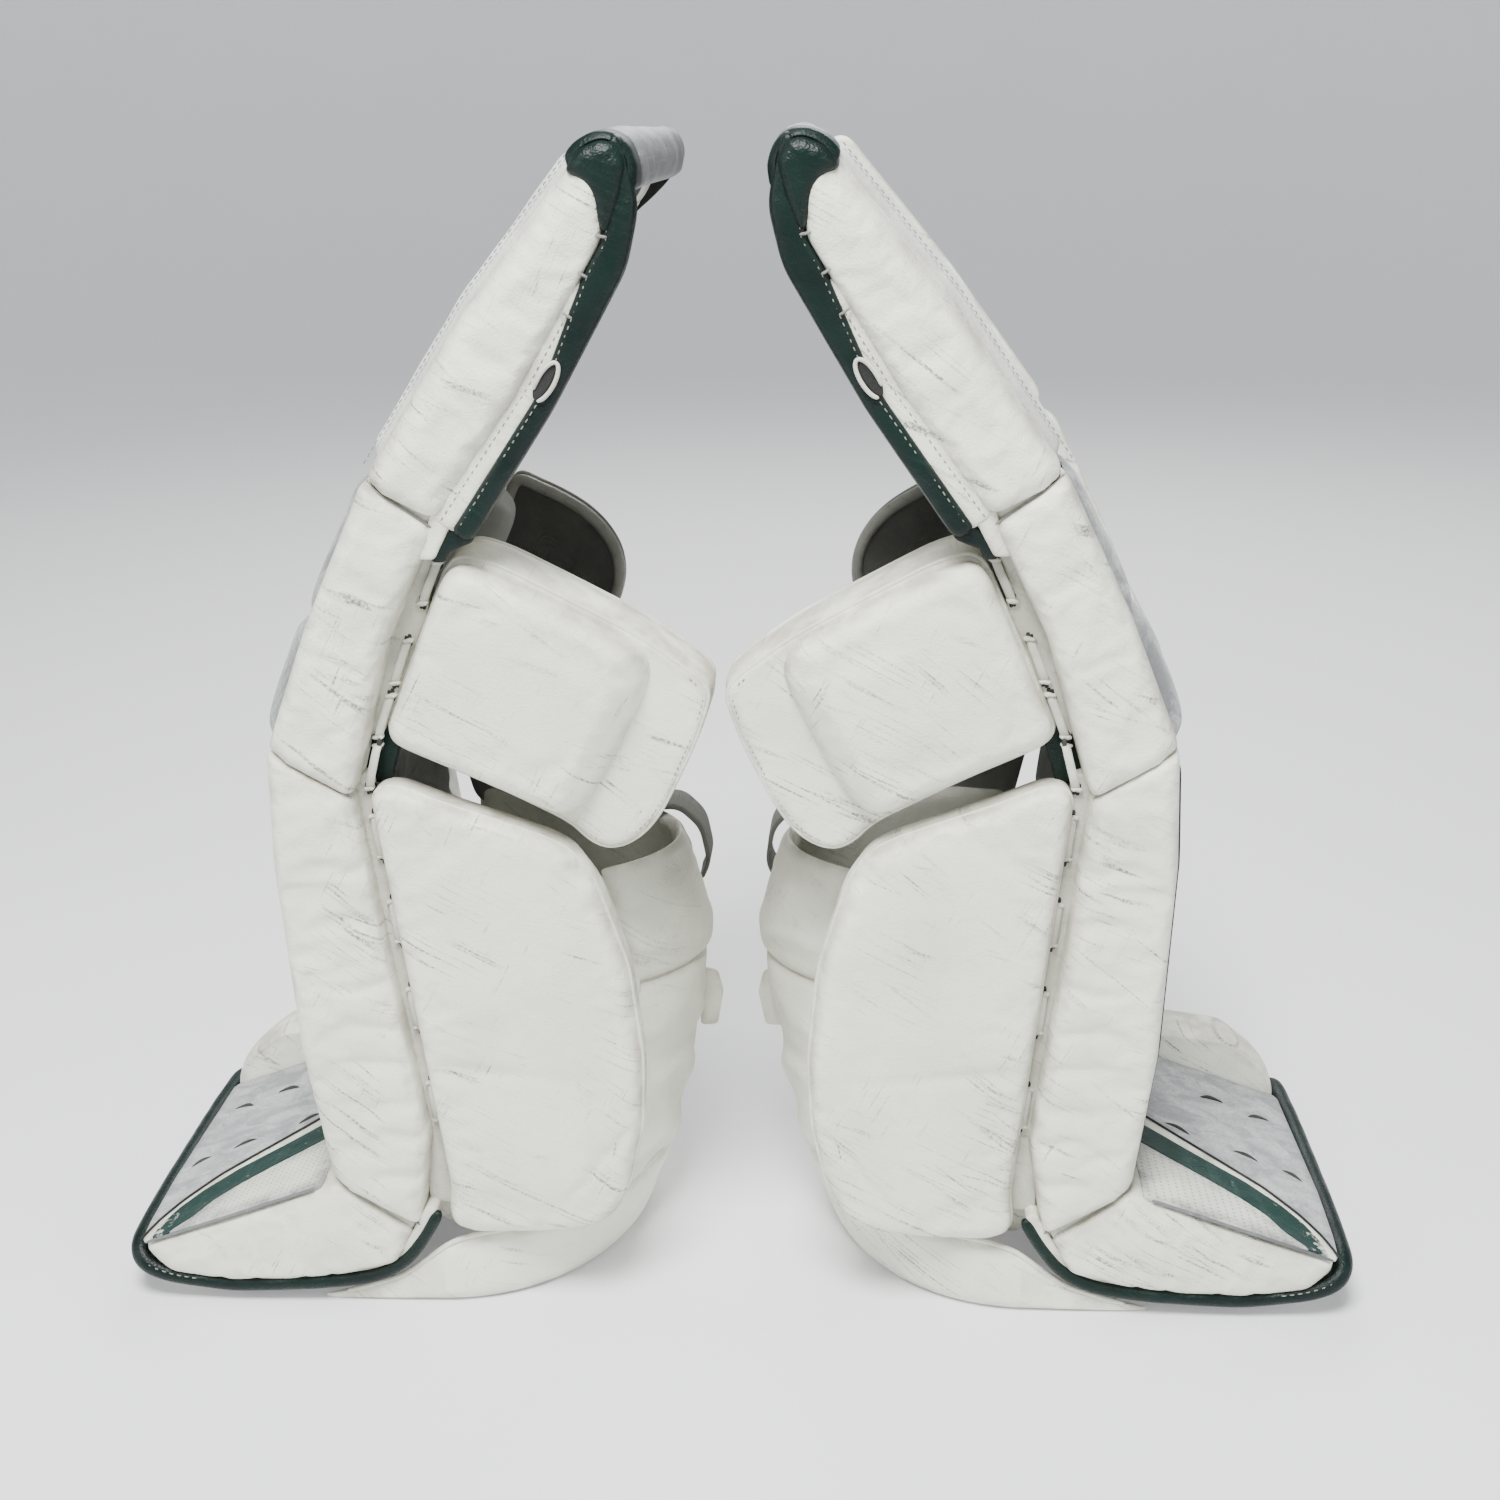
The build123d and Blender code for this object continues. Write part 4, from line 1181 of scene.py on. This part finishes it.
# ----------------------------------------------------------------- flange, binding, laces
flange = outline("edge_binding")
flange_left = run(flange, (-205, 96), (-176, 535))
flange_box = cad("edge_binding")
flange_in, flange_out = -flange_box[1].y, -flange_box[0].y
block_hinge = corners(base_loop, (-214, 411), (-162, 530))
wing_hinge = corners(wing_loop, (-189, 90), (-222, 379))


def seam_x(heights):
    """Where the side roll's back seam is at some heights."""
    return np.interp(heights, flange_left[:, 1], flange_left[:, 0])


def hinge_x(heights):
    """Where the knee block or the calf wing begins at some heights."""
    return np.where(heights > 0.4, np.interp(heights, block_hinge[:, 1], block_hinge[:, 0]),
                    np.interp(heights, wing_hinge[:, 1], wing_hinge[:, 0]))


def flange_strip(low, high, start, end, to_hinge=False):
    """Side-view outline of a strip beside the roll, from start to end behind its back seam."""
    heights = np.linspace(low, high, 24)
    seam = seam_x(heights)
    held_back = 8.5 * MM * np.clip((heights - 0.494) / 0.02, 0, 1)
    far = hinge_x(heights) + end - held_back if to_hinge else seam + end
    return np.vstack([np.column_stack([seam + start, heights]),
                      np.column_stack([far, heights])[::-1]])


THIN_RIM = [((0, 1), 2.5, 2)]
# The lacing strips in the valley are in the darker valley leather, as painted shade.
for name, low, high, start, end, top, finish in (("edge_binding", flange_box[0].z,
            flange_box[1].z - 4 * MM, 0, 9 * MM, -4 * MM, green),
        ("edge_binding_flap", 0.378, 0.432, 2 * MM, 20 * MM, -3 * MM, green),
        ("lacing_strip_knee", 0.412, 0.543, -3 * MM, -0.8 * MM, 1 * MM, shadow_leather),
        ("lacing_strip_shin", 0.066, 0.388, -3 * MM, -0.8 * MM, 6 * MM, shadow_leather)):
    low = max(low, flange_box[0].z - 0.024)
    shape = puffed(rounded(flange_strip(low, high, start, end, end < 0), 3), flange_in - 2 * MM,
                   flange_out + top, THIN_RIM, lumps=0.6, lump_scale=60, spacing=3.2, wall=0.3,
                   seed=len(name))
    pair(name, medial(shape), "leg", finish)


# The CAD laces are boxes of eight corners, one for each loop.
lace_points = cad_points("wing_laces")
lace_points = lace_points[lace_points[:, 2].argsort()]
loops, holes = [], []
for group in np.split(lace_points, len(lace_points) // 8):
    low, high = group[:4].mean(0), group[-4:].mean(0)
    step = (high - low) / np.linalg.norm(high - low)
    low, high = low - step * 2 * MM, high + step * 2 * MM
    raised, share = (1 * MM, 0.64) if low[2] > 0.4 else (6 * MM, 0.74)
    for end in (low, high):
        end[0] = (1 - share) * seam_x(end[2]) + share * hinge_x(end[2])
        end[1] = -flange_out - raised
    lift = np.array([0, -1, 0]) * MM
    path = [low + lift * -3, low + step * 2 * MM + lift * 1.4, low * 0.7 + high * 0.3 + lift * 3.2,
            low * 0.3 + high * 0.7 + lift * 3.2, high - step * 2 * MM + lift * 1.4,
            high + lift * -3]
    loops.append(tube(resampled(rounded(path, 3, False), 1.6 * MM), 2.9 * MM, sides=10, flat=0.5,
                      across=(1, 0, 0)))
    for end, way in ((low, -1), (high, 1)):
        centre = end + step * way * 1.5 * MM
        turns = np.linspace(0, 2 * math.pi, 13)[:-1]
        oval = np.column_stack([centre[0] + 1.5 * MM * np.cos(turns),
                                centre[2] + 3.0 * MM * np.sin(turns)])
        holes.append(medial(puffed(oval, flange_out - 2 * MM, flange_out + raised + 0.3 * MM,
                    [((0, 1), 1, 0.6)], spacing=1.6, wall=0)))
pair("wing_laces", joined(*loops), "leg", lace)
tongue = np.array([(-216, 66), (-203, 104), (-178, 104), (-176, 47), (-196, 44), (-207, 52)]) * MM
pair("heel_tongue", medial(puffed(rounded(tongue, 5), flange_in - 8 * MM, flange_in + 1.5 * MM,
            THIN_RIM, lumps=0.8, spacing=4, wall=0)), "leg", white)
lining_panel = np.array([(-200, 286), (-222, 380), (-205, 424), (-150, 408), (-95, 380), (-70, 330),
                         (-74, 290)]) * MM
pair("knee_side_lining", lateral(puffed(rounded(lining_panel, 12), core_high + 8 * MM,
            core_high + 15 * MM, [((0, 1), 8, 5)], lumps=1.5, spacing=7)), "leg", lining)
pair("lace_holes", joined(*holes), "leg", hole_dark, smooth=0)

# The thigh's green binding, a flap behind each long edge. The medial one leaves a white margin.
binding_loop = outline("thigh_binding", True)
binding_box = cad("thigh_binding")
roll_back = resampled(corners(thigh_loop, (-58, 754), (-57, 718), (-110, 632), (-166, 554)), 5 * MM)
margin = np.interp(roll_back[:, 1], [0.56, 0.64, 0.70], [11 * MM, 9 * MM, -1 * MM])
away = sideways(roll_back, 1.0) - roll_back
inner_edge = roll_back + away * margin[:, None]
outer_edge = run(binding_loop, (-50, 775), (-147, 544))
outer_edge[-1] = inner_edge[-1] + [11 * MM, -8 * MM]
green_loop = np.vstack([inner_edge[::-1], outer_edge])
flap_low, flap_high = -binding_box[0].y - 9 * MM, -binding_box[0].y + 0.5 * MM
flap = puffed(rounded(green_loop, 9), flap_low, flap_high, [((0, 1), 5, 4)], lumps=1.1,
              lump_scale=30, pucker=0.5, spacing=4, wall=0.5, seed=41)
pair("thigh_binding", medial(flap), "thigh", green)
side_flap = puffed(rounded(binding_loop, 9), flap_low, flap_high, [((0, 1), 5, 4)], lumps=1.1,
                   lump_scale=30, pucker=0.5, spacing=5, wall=0.5, seed=42)
pair("thigh_binding_lateral", thinned(lateral(side_flap)), "thigh", black)
lower = [i for i, m in enumerate(margin) if m > 0]
strip = np.vstack([roll_back[lower] - away[lower] * 3 * MM, (inner_edge[lower]
            + away[lower] * 3 * MM)[::-1]])
pair("thigh_margin", medial(puffed(rounded(strip, 3), flap_low, flap_high - 3.5 * MM, THIN_RIM,
            lumps=0.6, lump_scale=50, spacing=3.5, wall=0.3, seed=43)), "thigh", white)
stitch_line = (inner_edge + away * 3 * MM)[2:-1]
pair("binding_stitching", stitches(at_depth(stitch_line, flap_high - 0.9 * MM), 3, 2, 0.5), "thigh",
     thread)
margin_line = (roll_back + away * 2.5 * MM)[lower[0] + 3:]
pair("margin_stitching", stitches(at_depth(margin_line, flap_high - 3.7 * MM), 3, 2, 0.45), "thigh",
     thread)
tacks = []
for height in (0.745, 0.72, 0.698, 0.674):
    at = np.abs(inner_edge[:, 1] - height).argmin()
    line = at_depth([inner_edge[at] + away[at] * step * MM for step in (-5, -3, 2, 4)],
                    flap_high + 0.4 * MM)
    tacks.append(tube(line + [(0, sunk * MM, 0) for sunk in (2.5, 0, 0, 2.5)], 1.0 * MM, sides=8))
pair("binding_tacks", joined(*tacks), "thigh", thread)
at = np.abs(inner_edge[:, 1] - 0.64).argmin()
centre, along = inner_edge[at] + away[at] * 2 * MM, np.array([away[at][1], -away[at][0]])
loop_turns = np.linspace(0.15, 2 * math.pi - 0.9, 16)
loop_path = [centre + along * 13 * MM * math.cos(t) + away[at] * 5 * MM * math.sin(t)
             for t in loop_turns]
pair("binding_loop", tube(at_depth(loop_path, flap_high + 1 * MM), 1.5 * MM, sides=8), "thigh",
     lace)
pair("binding_slot", medial(puffed(np.array([centre + along * 13 * MM * math.cos(t)
                    - away[at] * (1 + 4.5 * math.sin(t)) * MM for t in np.linspace(0, 2 * math.pi,
                        17)[:-1]]), flap_high - 4 * MM, flap_high + 0.6 * MM, [((0, 1), 2, 1)],
            spacing=2.2, wall=0)), "thigh", black)

# Over the top: a wrinkled grey cap, with the green corner on the medial side.
cap_line = np.array([(-76, 757), (-69, 768), (-56, 773.5), (-45, 769), (-41, 757), (-44, 742)]) * MM
cap_line = rounded(cap_line, 5, False)[::-1]
for name, low, high, finish in (("thigh_top_cap", -0.108, binding_box[1].y - 2 * MM, grey),
        ("thigh_top_corner", binding_box[0].y + 1 * MM, -0.104, green)):
    pair(name, face_sheet(cap_line[::-1], low, high, 5, 4, crinkle(1.6, 60, 12), spacing=3.6),
         "thigh", finish)
top_wrap = np.array([(-78, 754), (-77, 760), (-70, 768.5), (-56, 774), (-45, 770), (-41, 758),
                     (-46, 738), (-56, 716), (-60, 724), (-63, 740), (-69, 750)]) * MM
pair("thigh_top_wrap", medial(puffed(rounded(top_wrap, 5), 0.098, flap_high + 3 * MM,
            [((0, 1), 9, 9)], crown=1, lumps=1.2, lump_scale=40, pucker=0.8, spacing=3.5, wall=0.5,
            seed=44)), "thigh", green)
pair("thigh_top_seam", stitches(np.array([(-0.0395, y, 0.757)
                for y in np.linspace(-0.1, 0.125, 30)]), 4, 2.5, 0.7, out=(1, 0, 0)), "thigh",
     thread)

# The binding carries on over the break above the knee, and a gusset fills each break.
BRIDGE_LOW = 0.5278      # just above the knee block, which folds over what lies below
bridge = np.array([[float(hinge_x(BRIDGE_LOW)) - 8 * MM, BRIDGE_LOW],
                   [float(hinge_x(0.534)) - 9 * MM, 0.534], inner_edge[-1] + [1 * MM, 3 * MM],
                   inner_edge[-1] + [3 * MM, 7 * MM], outer_edge[-1] + [3 * MM, 6 * MM],
                   outer_edge[-1] + [0.5 * MM, 0], [float(hinge_x(0.534)) + 1 * MM, 0.534],
                   [float(hinge_x(BRIDGE_LOW)) - 0.5 * MM, BRIDGE_LOW]])
margin_bridge = np.array([roll_back[-1] + [-2 * MM, 8 * MM], inner_edge[-1] + [1 * MM, 6 * MM],
                          [float(hinge_x(0.53)) - 7 * MM, 0.53],
                          [float(seam_x(0.53)) - 1 * MM, 0.53]])
knee_break = corner(thigh_loop, -211, 578)
break_back = (corner(knee_loop, -169, 550) + corner(thigh_loop, -166, 554)) / 2
start, end = break_back - [-2 * MM, 26 * MM], break_back - [0, 8 * MM]
for name, loop, sunk, finish in (("binding_bridge", bridge, 6 * MM, green),
        ("margin_bridge", margin_bridge, 4.5 * MM, white)):
    pair(name, medial(puffed(loop, flap_low - 2 * MM, flap_high - sunk, THIN_RIM, spacing=3,
                             wall=0.2)), None, finish, bend=("leg", "thigh",
            (start[0], -0.13, start[1]), (end[0], -0.13, end[1])))
ankle_break = corner(shin_loop, -270, 96)
boot_loop = outline("boot_side_panel")
ankle_back = (corner(shin_loop, -212, 62) + corner(boot_loop, -216, 56)) / 2
# The gussets are in the darker valley leather, as painted shade in the breaks.
for name, bodies, front, back, low_end, high_end in (("knee_gusset", ("leg", "thigh"), knee_break,
            break_back, corner(knee_loop, -169, 550), corner(thigh_loop, -166, 554)),
        ("ankle_gusset", ("boot", "leg"), ankle_break, ankle_back, corner(boot_loop, -216, 56),
         corner(shin_loop, -212, 62))):
    ray = (back - front) / np.linalg.norm(back - front)
    side = np.array([-ray[1], ray[0]])
    low_way = side if (low_end - high_end) @ side > 0 else -side
    loop = np.array([front + ray * 9 * MM, front + ray * 12 * MM + low_way * 5 * MM,
                     low_end - ray * 8 * MM + low_way * 12 * MM,
                     low_end - ray * 3 * MM + low_way * 4 * MM,
                     high_end - ray * 3 * MM - low_way * 4 * MM,
                     high_end - ray * 8 * MM - low_way * 12 * MM,
                     front + ray * 12 * MM - low_way * 5 * MM])
    start, end = back + low_way * 8 * MM, back - low_way * 8 * MM
    pair(name, medial(puffed(loop, -side_face + 8 * MM, side_face - 8 * MM, [((0, 1), 3, 3)],
                             spacing=4, wall=0)), None, shadow_leather,
         bend=(*bodies, (start[0], 0, start[1]), (end[0], 0, end[1])))

# ---------------------------------------------------------------------------- boot face
toe, ankle = corner(boot_loop, -410, 45), corner(boot_loop, -270, 96)
uphill = (ankle - toe) / np.linalg.norm(ankle - toe)


def on_boot(shape, sink=0.0):
    """A panel's rows (along, y, height) laid on the sloping top of the boot."""
    points, faces, seam = shape
    rise = points[:, 2] - sink
    return (np.column_stack([toe[0] + points[:, 0] * uphill[0] - rise * uphill[1], points[:, 1],
                             toe[1] + points[:, 0] * uphill[1] + rise * uphill[0]]), faces, seam)


FACE_TOP, FACE_LENGTH, FACE_EDGE = 3.4 * MM, 141, -137
dark_line = [(1, -137), (3, -128), (8, -114), (20, -95), (42, -73), (67, -58), (105, -36),
             (FACE_LENGTH, -14)]
stripe_top = [(8, -137), (10, -122), (18, -104), (32, -88), (56, -71), (83, -58), (109, -45),
              (FACE_LENGTH, -29)]
stripe_low = [(20, -137), (37, -124), (47, -109), (64, -97), (90, -84), (119, -71),
              (FACE_LENGTH, -60)]
outer_side = [(FACE_LENGTH, core_high / MM), (-1, core_high / MM), (-4, -51), (-2, -108)]
for name, loop, finish in (("boot_face", dark_line + outer_side, marble_face),
        ("boot_white_band", dark_line + stripe_top[::-1], white),
        ("boot_stripe", stripe_top + stripe_low[::-1], worn_green),
        ("boot_perforated_panel", stripe_low + [(FACE_LENGTH, FACE_EDGE), (90, FACE_EDGE)],
         dotted)):
    loop = rounded(np.array(loop, float) * MM, 4)
    shape = puffed(loop, 0, FACE_TOP, [((0, 1), 1.6, 0.9)], lumps=0.5, lump_scale=30, spacing=4,
                   wall=0.1, seed=51)
    pair(name, on_boot(shape, 1.2 * MM), "boot", finish)
line = resampled(rounded(np.array(dark_line) * MM, 8, False), 3 * MM)
pair("boot_face_line", on_boot(tube(np.column_stack([line,
                    np.full(len(line), FACE_TOP - 0.4 * MM)]), 0.9 * MM, sides=6)), "boot", black)
pair("boot_edge_seam", on_boot(tube([(x * MM, -138.2 * MM, 0.6 * MM) for x in range(4, 140, 4)],
            1.3 * MM, sides=6)), "boot", grey)
crescents = []
for start, end in (((7, -44), (22, -37)), ((39, -36), (58, -32)), ((91, -29), (110, -24)),
                   ((16, 36), (34, 31)), ((52, 41), (71, 38))):
    start, end = np.array(start) * MM, np.array(end) * MM
    across = np.array([-(end - start)[1], (end - start)[0]]) / np.linalg.norm(end - start)
    shares = np.linspace(0, 1, 12)
    arch = [start + (end - start) * t + across * (5.2 * MM * math.sin(math.pi * t)) for t in shares]
    base = [start + (end - start) * t + across * (0.8 * MM * math.sin(math.pi * t))
            for t in shares[-2:0:-1]]
    crescents.append(on_boot(puffed(np.array(arch + base), FACE_TOP - 2 * MM, FACE_TOP - 0.3 * MM,
                [((0, 1), 1, 0.6)], spacing=2, wall=0)))
pair("boot_face_slots", joined(*crescents), "boot", hole_dark, slot="marbled_leather", smooth=0)

# Green binding under the boot's rim: down both sides and round the toe.
rim_box = cad("boot_binding")
sole = [np.array(p) * MM for p in ((-199, 76), (-209, 57), (-224, 36), (-243, 25), (-264, 20.5))]
sole += list(corners(boot_loop, (-300, 17), (-350, 15), (-392, 21)))
rim_half = -rim_box[0].y - 6 * MM
side_path = [(x, -rim_half, z - 3 * MM) for x, z in sole]
toe_path = [(rim_box[0].x + 13 * MM, -rim_half + 1 * MM, 0.027),
            (rim_box[0].x + 8 * MM, -rim_half + 10 * MM, 0.036),
            (rim_box[0].x + 7 * MM, -0.06, 0.038), (rim_box[0].x + 7 * MM, 0.06, 0.038)]
whole = side_path + toe_path + [(x, -y, z) for x, y, z in (side_path + toe_path[:2])[::-1]]
rim_path = resampled(rounded(whole, 14, False), 5 * MM)
rim_size = np.interp(rim_path[:, 0], [rim_box[0].x + 8 * MM, rim_box[0].x + 40 * MM, -0.25, -0.21],
                     [7.4 * MM, 5.6 * MM, 5.6 * MM, 4.2 * MM])
rim_size *= 1 + 0.05 * ripple(rim_path, 55, 3)
margin_loop = np.array([(-266, 25), (-232, 34), (-219, 56), (-207, 78), (-199, 74), (-210, 52),
                        (-226, 30), (-264, 18)]) * MM
pair("boot_margin", medial(puffed(rounded(margin_loop, 4), side_inner, rim_half + 1.5 * MM,
            THIN_RIM, lumps=0.6, spacing=3.5, wall=0.2, seed=45)), "boot", white)
pair("boot_binding", tube(rim_path, rim_size, sides=16), "boot", green)
worn = rim_path[(rim_path[:, 0] < -0.372) & (rim_path[:, 1] < -0.1)] + [(0, -5 * MM, 3.4 * MM)]
pair("toe_stitching", stitches(worn, 3, 2.2, 0.5, 0.6, (-0.4, -0.8, 0.4)), "boot", thread)

# --------------------------------------------------------- strap loop, tab, outer knee wing
strap_box, strap_loop = cad("strap_loop"), outline("strap_loop")
strap_line = rounded(corners(strap_loop, (-57, 305), (-41, 306), (-26, 291), (-21, 264),
        (-28, 249)), 7, False)
pair("strap_loop", face_sheet(strap_line - [1.5 * MM, 2 * MM], strap_box[0].y, strap_box[1].y, 3,
        1.6, spacing=2.4), "leg", webbing)
tab = outline("pull_tab")
tab_box = cad("pull_tab")
pair("pull_tab", medial(puffed(rounded(tab, 3), -tab_box[1].y, -tab_box[0].y, [((0, 1), 1.5, 1)],
            spacing=2.5, wall=0, lumps=0.3)), "pull_tab", soft_white)
dish = outline("outer_knee_wing")
dish_box = cad("outer_knee_wing")
dish_round = rounded(dish, 12)
facets = [([corner(dish, -150, 414), dish.mean(0), corner(dish, -95, 496)], 2.4, 3),
          ([corner(dish, -205, 432), dish.mean(0), corner(dish, -130, 523)], 2.0, 3)]
pair("outer_knee_wing", lateral(puffed(dish_round, dish_box[0].y + 16 * MM, dish_box[1].y,
            [((0, 1), 16, 14)], grooves=facets, lumps=1, seed=61, spacing=6)), "outer_knee_wing",
     shaded_pale_grey)
pair("outer_wing_lining", medial(puffed(dish_round + (dish_round.mean(0) - dish_round) * 0.03,
            -dish_box[0].y - 14 * MM, -dish_box[0].y - 2 * MM, [((0, 1), 6, 2)], crown=-9, seed=62,
            spacing=6, wall=0, lumps=0.8)), "outer_knee_wing", shaded_dark_lining)
dish_ring = resampled(dish_round + (dish_round.mean(0) - dish_round) * 0.05, 5 * MM, closed=True)
pair("outer_wing_rim", tube(at_depth(dish_ring, -dish_box[0].y - 4.5 * MM), 4.4 * MM, sides=12,
        closed=True), "outer_knee_wing", shaded_pale_grey)
